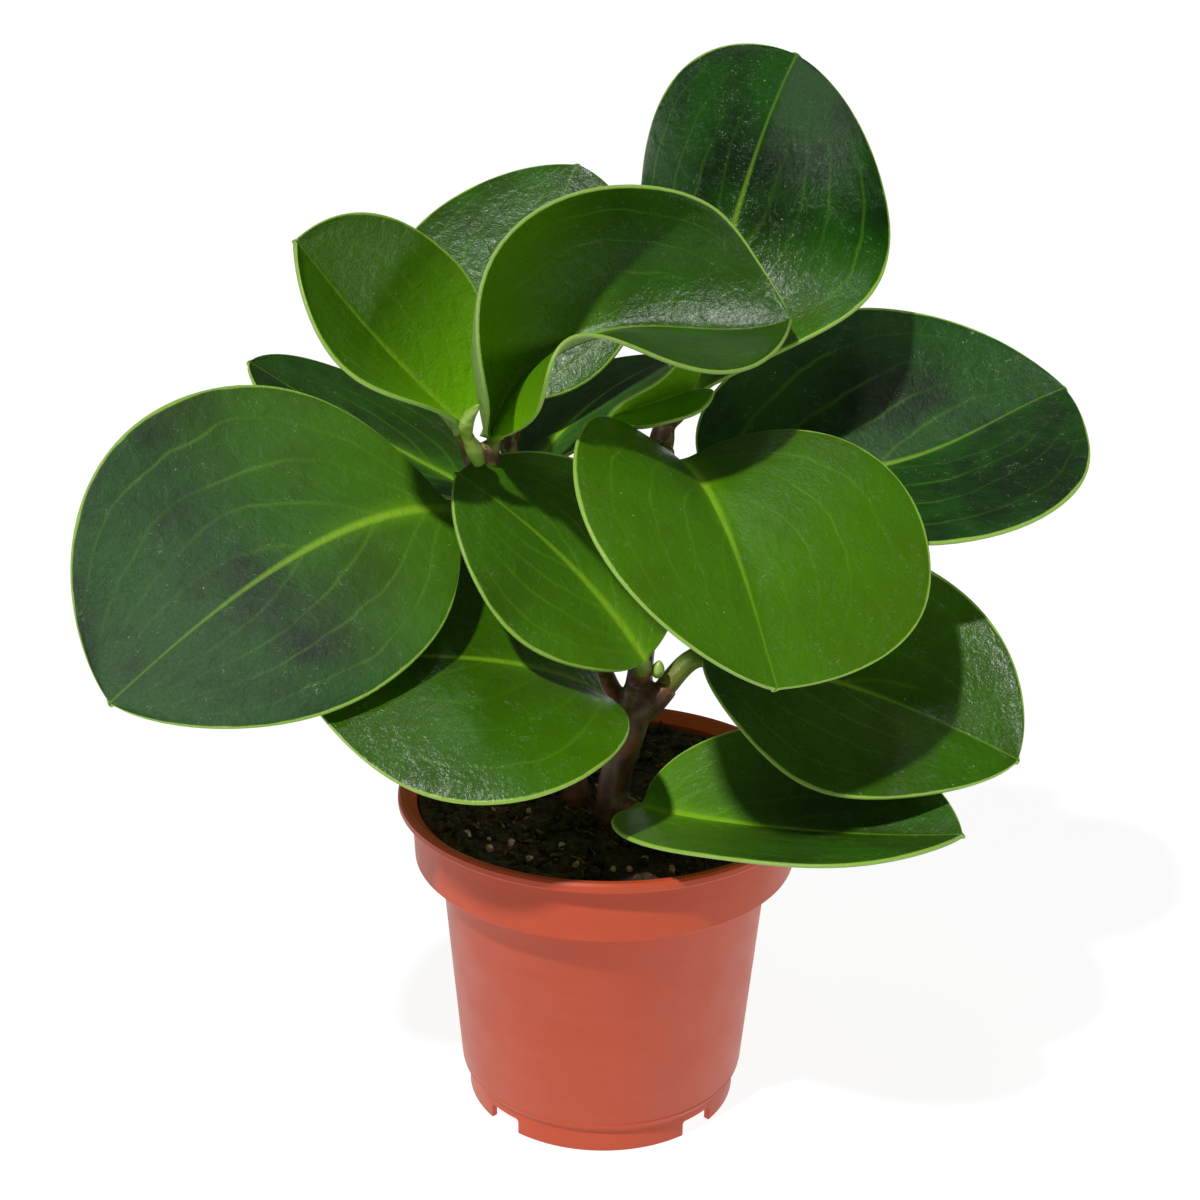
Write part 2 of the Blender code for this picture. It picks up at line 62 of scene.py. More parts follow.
camera_data = bpy.data.cameras.new("camera")
camera_data.lens = LENS
camera_data.sensor_width = 36
camera = bpy.data.objects.new("camera", camera_data)
bpy.context.scene.collection.objects.link(camera)
away = Vector((0, -math.cos(LOOK_DOWN), math.sin(LOOK_DOWN)))
camera.matrix_world = (
    Matrix.Translation(LOOK_AT + away * DISTANCE)
    @ Matrix.Rotation(math.pi / 2 - LOOK_DOWN, 4, "X")
    @ Matrix.Rotation(TIPPED, 4, "Z")
)
bpy.context.scene.camera = camera
bpy.context.scene.view_settings.view_transform = "Standard"
print("the camera stands at", tuple(round(v, 3) for v in camera.matrix_world.translation))

# %% [markdown]
# ## Working by hand, in code
# Every command of Blender's menus acts on whatever is selected.
# These two helpers keep that under control: one clears the selection, the other names the newest piece.
# A third bakes a piece's place into its mesh, so that its object stands unturned at the origin.

# %% Selecting and settling
def deselect():
    bpy.ops.object.select_all(action="DESELECT")


def newest(name):
    piece = bpy.context.object
    piece.name = piece.data.name = name
    return piece


def pick(piece):
    deselect()
    piece.select_set(True)
    bpy.context.view_layer.objects.active = piece


def settle(piece):
    pick(piece)
    bpy.ops.object.transform_apply(location=True, rotation=True, scale=True)


def apply_all(piece):
    pick(piece)
    for modifier in list(piece.modifiers):
        bpy.ops.object.modifier_apply(modifier=modifier.name)


def edit(piece):
    pick(piece)
    bpy.ops.object.mode_set(mode="EDIT")
    bpy.ops.mesh.select_all(action="SELECT")


def done_editing():
    bpy.ops.object.mode_set(mode="OBJECT")


print("helpers are ready")

# %% [markdown]
# ## Small helpers for materials
# A material is a graph of nodes. Written out in full, even a simple graph is long.
# These helpers add one node each and hand back its output, so a graph reads like a formula.
# `shade_of` turns a colour as a paint program shows it into the linear values that a shader expects.

# %% Node helpers
def shade_of(red, green, blue):
    linear = [c / 12.92 if c <= 0.04045 else ((c + 0.055) / 1.055) ** 2.4
              for c in (red / 255, green / 255, blue / 255)]
    return (*linear, 1.0)


def feed(tree, socket, value):
    if isinstance(value, bpy.types.NodeSocket):
        tree.links.new(value, socket)
    else:
        socket.default_value = value


def maths(tree, operation, *values):
    node = tree.nodes.new("ShaderNodeMath")
    node.operation = operation
    for socket, value in zip(node.inputs, values):
        feed(tree, socket, value)
    return node.outputs[0]


def ramp(tree, value, start, end, low=0.0, high=1.0):
    """A soft step: `low` up to `start`, `high` from `end` on."""
    node = tree.nodes.new("ShaderNodeMapRange")
    node.interpolation_type = "SMOOTHSTEP"
    for socket, number in zip(node.inputs, (value, start, end, low, high)):
        feed(tree, socket, number)
    return node.outputs[0]


def blend(tree, share, first, second):
    node = tree.nodes.new("ShaderNodeMix")
    node.data_type = "RGBA"
    for index, value in ((0, share), (6, first), (7, second)):
        feed(tree, node.inputs[index], value)
    return node.outputs[2]


def place_in_object(tree, stretch=(1, 1, 1)):
    mapping = tree.nodes.new("ShaderNodeMapping")
    mapping.inputs["Scale"].default_value = stretch
    tree.links.new(tree.nodes.new("ShaderNodeTexCoord").outputs["Object"], mapping.inputs["Vector"])
    return mapping.outputs[0]


def noise(tree, scale, detail=3.0, rough=0.5, place=None, twirl=0.0):
    node = tree.nodes.new("ShaderNodeTexNoise")
    tree.links.new(place or place_in_object(tree), node.inputs["Vector"])
    node.inputs["Scale"].default_value = scale
    node.inputs["Detail"].default_value = detail
    node.inputs["Roughness"].default_value = rough
    node.inputs["Distortion"].default_value = twirl
    return node.outputs["Fac"]


def attribute(tree, name):
    node = tree.nodes.new("ShaderNodeAttribute")
    node.attribute_name = name
    return node.outputs["Fac"]


def bump(tree, height, distance, strength=1.0, under=None):
    node = tree.nodes.new("ShaderNodeBump")
    node.inputs["Distance"].default_value = distance
    node.inputs["Strength"].default_value = strength
    tree.links.new(height, node.inputs["Height"])
    if under is not None:
        tree.links.new(under, node.inputs["Normal"])
    return node.outputs[0]


def new_material(name, **constants):
    """A material, its tree and its shader, with the settings that are the same all over."""
    made = bpy.data.materials.new(name)
    made.use_nodes = True
    shader = made.node_tree.nodes["Principled BSDF"]
    for label, value in constants.items():
        shader.inputs[label.replace("_", " ").title().replace("Ior", "IOR")].default_value = value
    return made, made.node_tree, shader


def new_group(name, inputs, outputs):
    """A node group with number sockets, and its input and output nodes."""
    group = bpy.data.node_groups.new(name, "ShaderNodeTree")
    for label, start in inputs:
        socket = group.interface.new_socket(label, in_out="INPUT", socket_type="NodeSocketFloat")
        socket.default_value = start
    for label in outputs:
        group.interface.new_socket(label, in_out="OUTPUT", socket_type="NodeSocketFloat")
    return group, group.nodes.new("NodeGroupInput").outputs, group.nodes.new("NodeGroupOutput").inputs


def use_group(tree, group, **values):
    node = tree.nodes.new("ShaderNodeGroup")
    node.node_tree = group
    for label, value in values.items():
        feed(tree, node.inputs[label.replace("_", " ").capitalize()], value)
    return node.outputs


print("node helpers are ready")

# %% [markdown]
# ## The terracotta plastic
# The pot is thin moulded plastic in a fired-clay colour, not clay.
# It has a soft satin sheen, a very fine grain from the mould, and a slightly uneven colour.
# Noise at three sizes gives that: clouds of colour, flow marks drawn out sideways, and the grain as bump.

# %% Mix the terracotta plastic
CLAY = shade_of(196, 78, 44)
CLAY_DEEP = shade_of(189, 73, 40)
CLAY_DUSTY = shade_of(206, 104, 76)

plastic, tree, shader = new_material("terracotta plastic", specular_ior_level=0.3)
clouds = ramp(tree, noise(tree, 14, 3), 0.3, 0.75)
flow = ramp(tree, noise(tree, 60, 5, place=place_in_object(tree, (1, 1, 6))), 0.4, 0.75)
dust = ramp(tree, noise(tree, 420, 6, 0.7), 0.62, 0.74)
colour = blend(tree, clouds, CLAY_DEEP, CLAY)
colour = blend(tree, maths(tree, "MULTIPLY", flow, 0.10), colour, CLAY_DUSTY)
colour = blend(tree, maths(tree, "MULTIPLY", dust, 0.12), colour, CLAY_DUSTY)
feed(tree, shader.inputs["Base Color"], colour)
feed(tree, shader.inputs["Roughness"], ramp(tree, noise(tree, 90, 4), 0.3, 0.7, 0.38, 0.46))
grain = bump(tree, noise(tree, 2600, 3, 0.6), 0.00006)
feed(tree, shader.inputs["Normal"], bump(tree, flow, 0.00003, 0.5, under=grain))
print("mixed", plastic.name)

# %% [markdown]
# ## Turning the pot
# A nursery pot is moulded in one go: a skirt with feet, a tapering wall, a stepped collar and a rolled rim.
# It could be a Screw or Spin of a drawn outline. Here one circle is pulled up and scaled step by step,
# outside first and then back down inside, because that shows how any round vessel grows from a ring.

# %% Pull the pot up from a ring
POT_SIDES = 144
POT_OUTLINE = (
    (0.0350, 0.0043), (0.0350, 0.0000), (0.0366, 0.0000), (0.0366, 0.0063), (0.0383, 0.0083),
    (0.0385, 0.0088), (0.0384, 0.0093), (0.0387, 0.0098), (0.0440, 0.0702), (0.0444, 0.0708),
    (0.0502, 0.0709), (0.0507, 0.0714), (0.0514, 0.0858), (0.0519, 0.0864), (0.0545, 0.0866),
    (0.0550, 0.0872), (0.0549, 0.0886), (0.0543, 0.0892), (0.0529, 0.0892), (0.0524, 0.0887),
    (0.0500, 0.0866), (0.0491, 0.0726), (0.0425, 0.0726), (0.0366, 0.0059),
)

deselect()
radius, height = POT_OUTLINE[0]
bpy.ops.mesh.primitive_circle_add(vertices=POT_SIDES, radius=radius, location=(0, 0, height))
pot = newest("pot_shell")
edit(pot)
for (radius, height), (next_radius, next_height) in zip(POT_OUTLINE, POT_OUTLINE[1:]):
    rise = {"value": (0, 0, next_height - height)}
    bpy.ops.mesh.extrude_edges_move(TRANSFORM_OT_translate=rise)
    grow = next_radius / radius
    bpy.ops.transform.resize(value=(grow, grow, 1), center_override=(0, 0, next_height))
bpy.ops.mesh.select_all(action="SELECT")
bpy.ops.mesh.fill_holes(sides=0)
bpy.ops.mesh.select_all(action="SELECT")
bpy.ops.mesh.normals_make_consistent(inside=False)
done_editing()
settle(pot)
print("the pot has", len(pot.data.polygons), "faces")

# %% [markdown]
# ## Feet and drain holes
# Water leaves a nursery pot through holes in its floor and runs out between the feet.
# Both are cut with Boolean modifiers: a block at each gap between two feet, and a rod at each hole.
# The block's top is bevelled first, so that the cut gets the rounded corners of a moulding.

# %% Cut the gaps and the holes
GAP_WIDE = 0.0102
GAP_TALL = 0.0042
GAP_DEEP = 0.0120
SKIRT_RADIUS = 0.0366
DRAIN_RADIUS = 0.0035
DRAIN_CIRCLE = 0.0255


def cut_away(target, tool):
    modifier = target.modifiers.new("cut", "BOOLEAN")
    modifier.solver = "EXACT"
    modifier.object = tool
    apply_all(target)
    bpy.data.objects.remove(tool, do_unlink=True)


for azimuth in (45, 135, 225, 315):
    angle = math.radians(azimuth)
    towards = Vector((math.cos(angle), math.sin(angle), 0))
    deselect()
    bpy.ops.mesh.primitive_cube_add(size=1, location=towards * SKIRT_RADIUS, rotation=(0, 0, angle))
    block = newest("gap_block")
    block.scale = (GAP_DEEP, GAP_WIDE, 2 * GAP_TALL)
    settle(block)
    edge = block.modifiers.new("round", "BEVEL")
    edge.width = 0.0008
    edge.segments = 3
    apply_all(block)
    cut_away(pot, block)
    deselect()
    bpy.ops.mesh.primitive_cylinder_add(
        vertices=32, radius=DRAIN_RADIUS, depth=0.02, location=towards * DRAIN_CIRCLE
    )
    cut_away(pot, newest("drain_rod"))

bevel = pot.modifiers.new("soft edges", "BEVEL")
bevel.width = 0.00025
bevel.segments = 2
bevel.limit_method = "ANGLE"
bevel.angle_limit = math.radians(50)
apply_all(pot)
pick(pot)
bpy.ops.object.shade_smooth_by_angle(angle=math.radians(35))
pot.data.materials.clear()
pot.data.materials.append(plastic)
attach(pot, "root")
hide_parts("pot")
print("the cut pot has", len(pot.data.polygons), "faces")

# %% [markdown]
# ## The potting soil
# Potting soil is dark peat with crumbs, bark fibres and a few pinkish-white grains of perlite.
# A flat brown disc would look like a lid. So a shallow bed is made lumpy with a Displace modifier,
# and hundreds of small crumbs are strewn over it.

# %% Mix the peat
PEAT = shade_of(66, 46, 30)
PEAT_DARK = shade_of(14, 9, 6)
PEAT_PALE = shade_of(132, 96, 68)

peat, tree, shader = new_material("damp peat")
crumbly = noise(tree, 700, 6, 0.7)
lumps = ramp(tree, noise(tree, 160, 4), 0.35, 0.65)
colour = blend(tree, lumps, PEAT_DARK, PEAT)
colour = blend(tree, ramp(tree, crumbly, 0.56, 0.72), colour, PEAT_PALE)
feed(tree, shader.inputs["Base Color"], colour)
feed(tree, shader.inputs["Roughness"], ramp(tree, crumbly, 0.4, 0.7, 0.95, 0.55))
feed(tree, shader.inputs["Normal"], bump(tree, crumbly, 0.0006))

PERLITE = shade_of(214, 182, 168)
PERLITE_SHADE = shade_of(150, 104, 88)
perlite, tree, shader = new_material("perlite", roughness=0.75)
feed(tree, shader.inputs["Base Color"],
     blend(tree, ramp(tree, noise(tree, 900, 4), 0.4, 0.6), PERLITE_SHADE, PERLITE))
feed(tree, shader.inputs["Normal"], bump(tree, noise(tree, 1500, 4), 0.0002))

BARK = shade_of(122, 84, 54)
BARK_DARK = shade_of(44, 28, 18)
fibre_paint, tree, shader = new_material("bark fibre", roughness=0.7)
feed(tree, shader.inputs["Base Color"],
     blend(tree, ramp(tree, noise(tree, 500, 4), 0.4, 0.6), BARK_DARK, BARK))
feed(tree, shader.inputs["Normal"], bump(tree, noise(tree, 1800, 3), 0.0002))
print("mixed peat, perlite and bark")

# %% Make the bed
SOIL_RADIUS = 0.0494
SOIL_TOP = 0.0858
SOIL_DEEP = 0.0120

deselect()
bpy.ops.mesh.primitive_circle_add(
    vertices=96, radius=SOIL_RADIUS, fill_type="NGON", location=(0, 0, SOIL_TOP)
)
bed = newest("soil_bed")
edit(bed)
for _ in range(15):
    bpy.ops.mesh.inset(thickness=0.0031)
bpy.ops.mesh.poke()
done_editing()
settle(bed)
lumpy = bpy.data.textures.new("lumps", "CLOUDS")
lumpy.noise_scale = 0.009
lumpy.noise_depth = 3
heave = bed.modifiers.new("lumps", "DISPLACE")
heave.texture = lumpy
heave.texture_coords = "GLOBAL"
heave.strength = 0.0032
heave.mid_level = 0.5
apply_all(bed)
edit(bed)
bpy.ops.mesh.extrude_region_move(TRANSFORM_OT_translate={"value": (0, 0, -SOIL_DEEP)})
bpy.ops.transform.resize(value=(0.97, 0.97, 0.01), center_override=(0, 0, SOIL_TOP - SOIL_DEEP))
bpy.ops.mesh.select_all(action="SELECT")
bpy.ops.mesh.normals_make_consistent(inside=False)
done_editing()
bed.data.materials.append(peat)
pick(bed)
bpy.ops.object.shade_smooth()
print("the bed has", len(bed.data.polygons), "faces")

# %% [markdown]
# ## Crumbs, fibres and perlite
# One crumb is a rough twenty-sided ball. Strewn at random sizes and turns, a thousand of them look
# like loose peat, and each costs only twenty faces. The same ball in a pale material is perlite.
# The random numbers start from a fixed seed, so that each run strews them alike.

# %% Strew the crumbs
CRUMBS = 1500
FIBRES = 150


def crumb_shape(count, seed):
    """Some rough balls of radius one, each as corner places and faces."""
    rng = np.random.default_rng(seed)
    deselect()
    bpy.ops.mesh.primitive_ico_sphere_add(subdivisions=1, radius=1)
    ball = newest("ball")
    corners = np.empty(len(ball.data.vertices) * 3)
    ball.data.vertices.foreach_get("co", corners)
    faces = np.array([polygon.vertices[:] for polygon in ball.data.polygons])
    bpy.data.objects.remove(ball, do_unlink=True)
    corners = corners.reshape(-1, 3)
    return [corners * rng.uniform(0.65, 1.2, (len(corners), 1)) for _ in range(count)], faces


def strew(name, paint, places, sizes, seed, flat=0.7):
    shapes, faces = crumb_shape(12, seed)
    rng = random.Random(seed)
    points, polygons = [], []
    for place, size in zip(places, sizes):
        turn = Euler([rng.uniform(0, math.tau) for _ in range(3)]).to_matrix()
        shape = (shapes[rng.randrange(12)] * (1, 0.85, flat)) @ np.array(turn).T
        polygons.append(faces + len(points) * len(shape))
        points.append(shape * size + np.array(place))
    mesh = bpy.data.meshes.new(name)
    mesh.from_pydata(np.concatenate(points).tolist(), [], np.concatenate(polygons).tolist())
    mesh.materials.append(paint)
    piece = bpy.data.objects.new(name, mesh)
    bpy.context.scene.collection.objects.link(piece)
    pick(piece)
    bpy.ops.object.shade_smooth()
    return piece


def on_bed(rng, outer, above):
    radius = outer * math.sqrt(rng.random())
    angle = rng.uniform(0, math.tau)
    return (radius * math.cos(angle), radius * math.sin(angle), SOIL_TOP + above)


rng = random.Random(7)
sizes = [0.0006 + 0.0022 * rng.random() ** 2.6 for _ in range(CRUMBS)]
places = [on_bed(rng, SOIL_RADIUS - 0.0015, rng.uniform(-0.0008, 0.0006)) for _ in sizes]
crumbs = strew("soil_crumbs", peat, places, sizes, 3)

# Perlite lies mostly towards the front, where the photo shows it, and here and there elsewhere.
front_grains = (
    (-0.0290, -0.0322), (-0.0185, -0.0375), (-0.0070, -0.0400), (0.0020, -0.0425), (0.0062, -0.0418),
    (0.0165, -0.0415), (-0.0110, -0.0300), (-0.0238, -0.0290), (0.0100, -0.0360), (-0.0350, -0.0240),
)
places = [(x, y, SOIL_TOP + 0.0008) for x, y in front_grains]
places += [on_bed(rng, SOIL_RADIUS - 0.004, 0.0007) for _ in range(16)]
sizes = [rng.uniform(0.0011, 0.0017) for _ in front_grains]
sizes += [rng.uniform(0.0007, 0.0012) for _ in range(16)]
grains = strew("soil_perlite", perlite, places, sizes, 5, flat=0.8)
print(len(crumbs.data.polygons), "crumb faces and", len(grains.data.polygons), "perlite faces")

# %% Lay the fibres
def tube_rings(path, radii, sides):
    """Rings of points around a path of places, each ring square to the path there."""
    path = np.asarray(path, float)
    slopes = np.gradient(path, axis=0)
    slopes /= np.linalg.norm(slopes, axis=1, keepdims=True)
    left = np.cross(slopes[0], (0.3, 0.5, 0.8))
    angles = np.arange(sides) * math.tau / sides
    rings = []
    for place, slope, radius in zip(path, slopes, radii):
        left = left - slope * (left @ slope)
        left = left / np.linalg.norm(left)
        up = np.cross(slope, left)
        rings.append(place + radius * (np.cos(angles)[:, None] * left + np.sin(angles)[:, None] * up))
    return rings


def tube_faces(count, sides, first=0):
    """Four-sided faces between rings, and one face over each end."""
    faces = []
    for ring in range(count - 1):
        for step in range(sides):
            a, b = ring * sides + step, ring * sides + (step + 1) % sides
            faces.append([first + a, first + b, first + b + sides, first + a + sides])
    faces.append([first + step for step in range(sides)][::-1])
    faces.append([first + (count - 1) * sides + step for step in range(sides)])
    return faces


def mesh_piece(name, points, faces, paint):
    mesh = bpy.data.meshes.new(name)
    mesh.from_pydata(np.asarray(points).tolist(), [], faces)
    mesh.materials.append(paint)
    piece = bpy.data.objects.new(name, mesh)
    bpy.context.scene.collection.objects.link(piece)
    pick(piece)
    bpy.ops.object.shade_smooth()
    return piece


points, faces = [], []
for _ in range(FIBRES):
    x, y, z = on_bed(rng, SOIL_RADIUS - 0.006, rng.uniform(0.0002, 0.0014))
    angle = rng.uniform(0, math.tau)
    length = rng.uniform(0.002, 0.0075)
    tilt = rng.uniform(-0.0012, 0.0012)
    path = [(x + length * (u - 0.5) * math.cos(angle + 0.5 * u),
             y + length * (u - 0.5) * math.sin(angle + 0.5 * u), z + tilt * u) for u in (0, 0.5, 1)]
    thick = rng.uniform(0.00015, 0.0005)
    first = sum(map(len, points))
    points += tube_rings(path, (thick, thick * 1.2, thick * 0.5), 5)
    faces += tube_faces(3, 5, first)
fibres = mesh_piece("soil_fibres", np.concatenate(points), faces, fibre_paint)
for piece in (bed, crumbs, grains, fibres):
    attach(piece, "root")
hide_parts("soil")
print("laid", FIBRES, "fibres")

# %% [markdown]
# ## The leaves' places and shapes
# Each leaf is described by a few numbers: where its blade starts, which way it points, how large it is,
# and how it droops, twists, folds along its midrib and curls towards its edges.
# `tint` says how yellow-green it is at its base and at its tip. Young leaves are brighter, and a bright base is also
# painted light shining through the leaf.
# `gloss` says how much wax is left on it: old leaves turn dull where they were touched or got dusty.

# %% Describe the leaves
class Leaf:
    """One leaf, with the values that most of them share."""

    droop = 0
    sweep = 0
    s_bend = 0
    twist = 0
    early = 0
    lobe = 0.04
    lean = 0
    widest = 0.48
    base_round = 0.5
    tip_round = 0.6
    fold = (5, 5)
    base_fold = (5, 5)
    curl = (0, 0)
    petiole = 0.0022
    steepest = 0.9
    tint = (0.35, 0.0)
    gloss = 0.5
    bark = 0.3
    slot = "leaf"

    def __init__(self, name, **fields):
        self.name = name
        for key, value in fields.items():
            setattr(self, key, value)

    def turn(self):
        angles = (math.radians(self.roll), -math.radians(self.pitch), math.radians(self.heading))
        return Euler(angles, "XYZ")


LEAVES = (
    Leaf(
        "leaf_left_large", stem=(-0.0290, 0.0028, 0.1695), room=0.0030,
        base=(-0.0395, -0.0060, 0.1675), heading=219, pitch=15, roll=-40,
        length=0.1000, width=0.0905, lobe=0.0, lean=-0.14, tip_round=0.68,
        droop=42, sweep=28, s_bend=3, early=1.0,
        fold=(6, -5), base_fold=(-4, -13), curl=(-9, 19), tint=(0.4, 0.0), gloss=0.15,
    ),
    Leaf(
        "leaf_upper_left", stem=(-0.0322, 0.0015, 0.1738), room=0.0024, steepest=3,
        base=(-0.0365, -0.0050, 0.1880), heading=183, pitch=46, roll=-37,
        length=0.0625, width=0.0580, lobe=-0.02, lean=-0.04, tip_round=0.55,
        droop=-21, sweep=8, s_bend=3, twist=-4, early=-0.2,
        fold=(22, 10), base_fold=(32, 14), curl=(7, 7), tint=(1.0, 0.25), gloss=0.8, bark=0.9, slot="young_leaf",
    ),
    Leaf(
        "leaf_back_top", stem=(-0.0264, 0.0213, 0.1780), room=0.0020,
        base=(-0.0261, 0.0315, 0.1862), heading=81, pitch=51, roll=2,
        length=0.0738, width=0.0695, lobe=0.03, lean=0.14,
        droop=6, sweep=-13, twist=-5,
        fold=(-3, -5), base_fold=(11, 5), tint=(0.2, 0.1), gloss=0.8,
    ),
    Leaf(
        "leaf_arching", stem=(-0.0308, 0.0025, 0.1745), room=0.0022, steepest=1.5,
        base=(-0.0300, -0.0030, 0.1848), heading=68, pitch=61, roll=-44,
        length=0.0879, width=0.1101, widest=0.28, lobe=0.06, lean=-0.20,
        base_round=0.56, tip_round=0.54,
        droop=38, sweep=-43, s_bend=31, twist=71, early=2.9,
        # The full tint at this leaf's base is partly its young colour and partly painted light shining through the
        # base.
        fold=(-19, 63), base_fold=(162, -59), curl=(92, 4), tint=(1.0, 0.1), gloss=0.7, bark=0.8,
    ),
    Leaf(
        "leaf_top_right", stem=(0.0138, 0.0077, 0.1870), room=0.0026,
        base=(0.0210, 0.0140, 0.1930), heading=74, pitch=60, roll=-5,
        length=0.0890, width=0.0785, widest=0.58, lobe=-0.06, lean=-0.05,
        base_round=0.55, tip_round=0.56,
        droop=-24, sweep=-19, s_bend=-6, twist=43, early=0.1,
        fold=(-24, -8), base_fold=(-18, 40), curl=(-40, -12), tint=(0.3, 0.0), gloss=1.0,
    ),
    Leaf(
        "leaf_right", stem=(0.0113, 0.0093, 0.1600), room=0.0036,
        base=(0.0270, 0.0120, 0.1680), heading=11, pitch=9, roll=34,
        length=0.1020, width=0.0880, widest=0.55, lobe=0.14, lean=0.05,
        base_round=0.48, tip_round=0.65,
        droop=1, sweep=12, s_bend=-30, early=0.1,
        fold=(0, 16), base_fold=(4, 26), curl=(29, 0), tint=(0.0, 0.0), gloss=0.45,
    ),
    Leaf(
        "leaf_front_heart", stem=(0.0127, 0.0087, 0.1790), room=0.0032,
        base=(0.0170, -0.0150, 0.1835), heading=-68, pitch=-3, roll=-13,
        length=0.0735, width=0.0960, widest=0.45, lobe=0.13, lean=0.10,
        tip_round=0.55,
        droop=35, sweep=3, early=1.3,
        fold=(8, 13), base_fold=(23, 12), curl=(-13, -11), tint=(0.2, 0.3), gloss=0.8,
    ),
    Leaf(
        "leaf_middle", stem=(0.0081, -0.0085, 0.1235), room=0.0035,
        base=(0.0090, -0.0170, 0.1320), heading=167, pitch=58, roll=-24,
        length=0.0665, width=0.0580, lobe=-0.02, tip_round=0.64,
        droop=22, sweep=15, twist=5, early=0.2,
        fold=(0, 3), base_fold=(13, 15), curl=(-10, 7), tint=(0.45, 0.2), gloss=0.5,
    ),
    Leaf(
        "leaf_lower_left", stem=(0.0052, -0.0120, 0.1090), room=0.0042,
        base=(-0.0010, -0.0180, 0.1230), heading=207, pitch=37, roll=-25,
        length=0.0820, width=0.0835, widest=0.44, lobe=0.03, lean=0.06,
        droop=46, sweep=9, s_bend=8, twist=-9, early=0.3,
        fold=(4, -1), base_fold=(26, -1), curl=(-23, 0), tint=(0.35, 0.15), gloss=1.0,
    ),
    Leaf(
        "leaf_lower_right", stem=(0.0064, -0.0118, 0.1135), room=0.0049,
        base=(0.0245, -0.0080, 0.1310), heading=-13, pitch=-5, roll=30,
        length=0.0830, width=0.0775, widest=0.46, lobe=-0.01, petiole=0.0028,
        base_round=0.54, tip_round=0.63,
        droop=8, sweep=-16, s_bend=5, twist=-6,
        fold=(12, 13), base_fold=(10, 17), curl=(10, -16), tint=(0.1, 0.15), gloss=1.0, bark=0.55,
    ),
    Leaf(
        "leaf_over_rim", stem=(0.0020, -0.0137, 0.0900), room=0.0043,
        base=(0.0090, -0.0210, 0.0930), heading=-34, pitch=5, roll=9,
        length=0.0845, width=0.0635, lobe=0.09, lean=-0.04,
        base_round=0.47,
        droop=-3, sweep=20, s_bend=3, twist=-2, early=-0.2,
        fold=(21, 20), base_fold=(0, 3), curl=(19, -6), tint=(0.45, 0.1), gloss=0.6,
    ),
    Leaf(
        "leaf_back_left", stem=(-0.0230, 0.0163, 0.1570), room=0.0033,
        base=(-0.0350, 0.0300, 0.1605), heading=169, pitch=24, roll=-3,
        length=0.0700, width=0.0560,
        droop=-8, sweep=5, fold=(6, 5), tint=(0.1, 0.05), gloss=0.2,
    ),
    Leaf(
        "leaf_back_middle", stem=(-0.0205, 0.0143, 0.1490), room=0.0037,
        base=(-0.0200, 0.0270, 0.1690), heading=53, pitch=35, roll=-14,
        length=0.0640, width=0.0620,
        droop=34, sweep=-7, fold=(-1, 5), base_fold=(-3, 5), curl=(3, 0), tint=(0.1, 0.05), gloss=0.2,
    ),
    Leaf(
        "leaf_young_rolled", stem=(0.0138, 0.0077, 0.1885), room=0.0024,
        base=(0.0198, 0.0002, 0.1972), heading=217, pitch=-6, roll=-33,
        length=0.0265, width=0.0315, widest=0.44, lobe=0.16, petiole=0.0014,
        droop=-3, sweep=2, s_bend=-3, twist=-22,
        fold=(33, 80), base_fold=(6, -1), curl=(26, 15), tint=(0.8, 0.8), gloss=0.6, slot="young_leaf",
    ),
    Leaf(
        "leaf_rear_left", stem=(-0.0135, 0.0072, 0.1200), room=0.0056,
        base=(-0.0250, 0.0190, 0.1320), heading=128, pitch=33, roll=-6,
        length=0.0780, width=0.0640, droop=24, sweep=6,
    ),
    Leaf(
        "leaf_rear_right", stem=(0.0103, 0.0050, 0.1460), room=0.0040,
        base=(0.0180, 0.0150, 0.1480), heading=62, pitch=10, roll=5,
        length=0.0760, width=0.0660, droop=24, sweep=-6,
    ),
    Leaf(
        "leaf_rear_low", stem=(-0.0092, 0.0004, 0.0960), room=0.0054,
        base=(-0.0160, 0.0130, 0.1060), heading=118, pitch=8, roll=3,
        length=0.0700, width=0.0580, droop=20, sweep=4,
    ),
)
print("described", len(LEAVES), "leaves")

# %% [markdown]
# ## The blade as a formula
# The midrib is walked in small steps that droop, sweep and twist a little each.
# At every step the blade spreads left and right as an arc, as wide as the leaf is there.
# A formula is used rather than hand sculpting, so that seventeen leaves can differ by numbers alone.

# %% Walk the midrib and spread the blade
MIDRIB_STEPS = 24
TIP_HALF = 0.0012


def midrib(leaf):
    """Places and frames (along, left, up) on the midrib, from the blade's base at the local origin."""
    along, left, up = np.eye(3)
    place = np.zeros(3)
    stations = [(place, along, left, up)]
    for step in range(MIDRIB_STEPS):
        u = (step + 0.5) / MIDRIB_STEPS
        weight = (1 + leaf.early * (1 - 2 * u)) / MIDRIB_STEPS
        droop = math.radians(leaf.droop) * weight
        sweep = math.radians(leaf.sweep) * weight
        sweep += math.radians(leaf.s_bend) * 2 * math.cos(2 * math.pi * u) / MIDRIB_STEPS
        twist = math.radians(leaf.twist) / MIDRIB_STEPS
        ahead = along - droop * up + sweep * left
        middle = (along + ahead) / np.linalg.norm(along + ahead)
        place = place + middle * leaf.length / MIDRIB_STEPS
        along = ahead / np.linalg.norm(ahead)
        left = left + twist * up
        left = left - along * (left @ along)
        left = left / np.linalg.norm(left)
        up = np.cross(along, left)
        stations.append((place, along, left, up))
    return [np.array(column) for column in zip(*stations)]


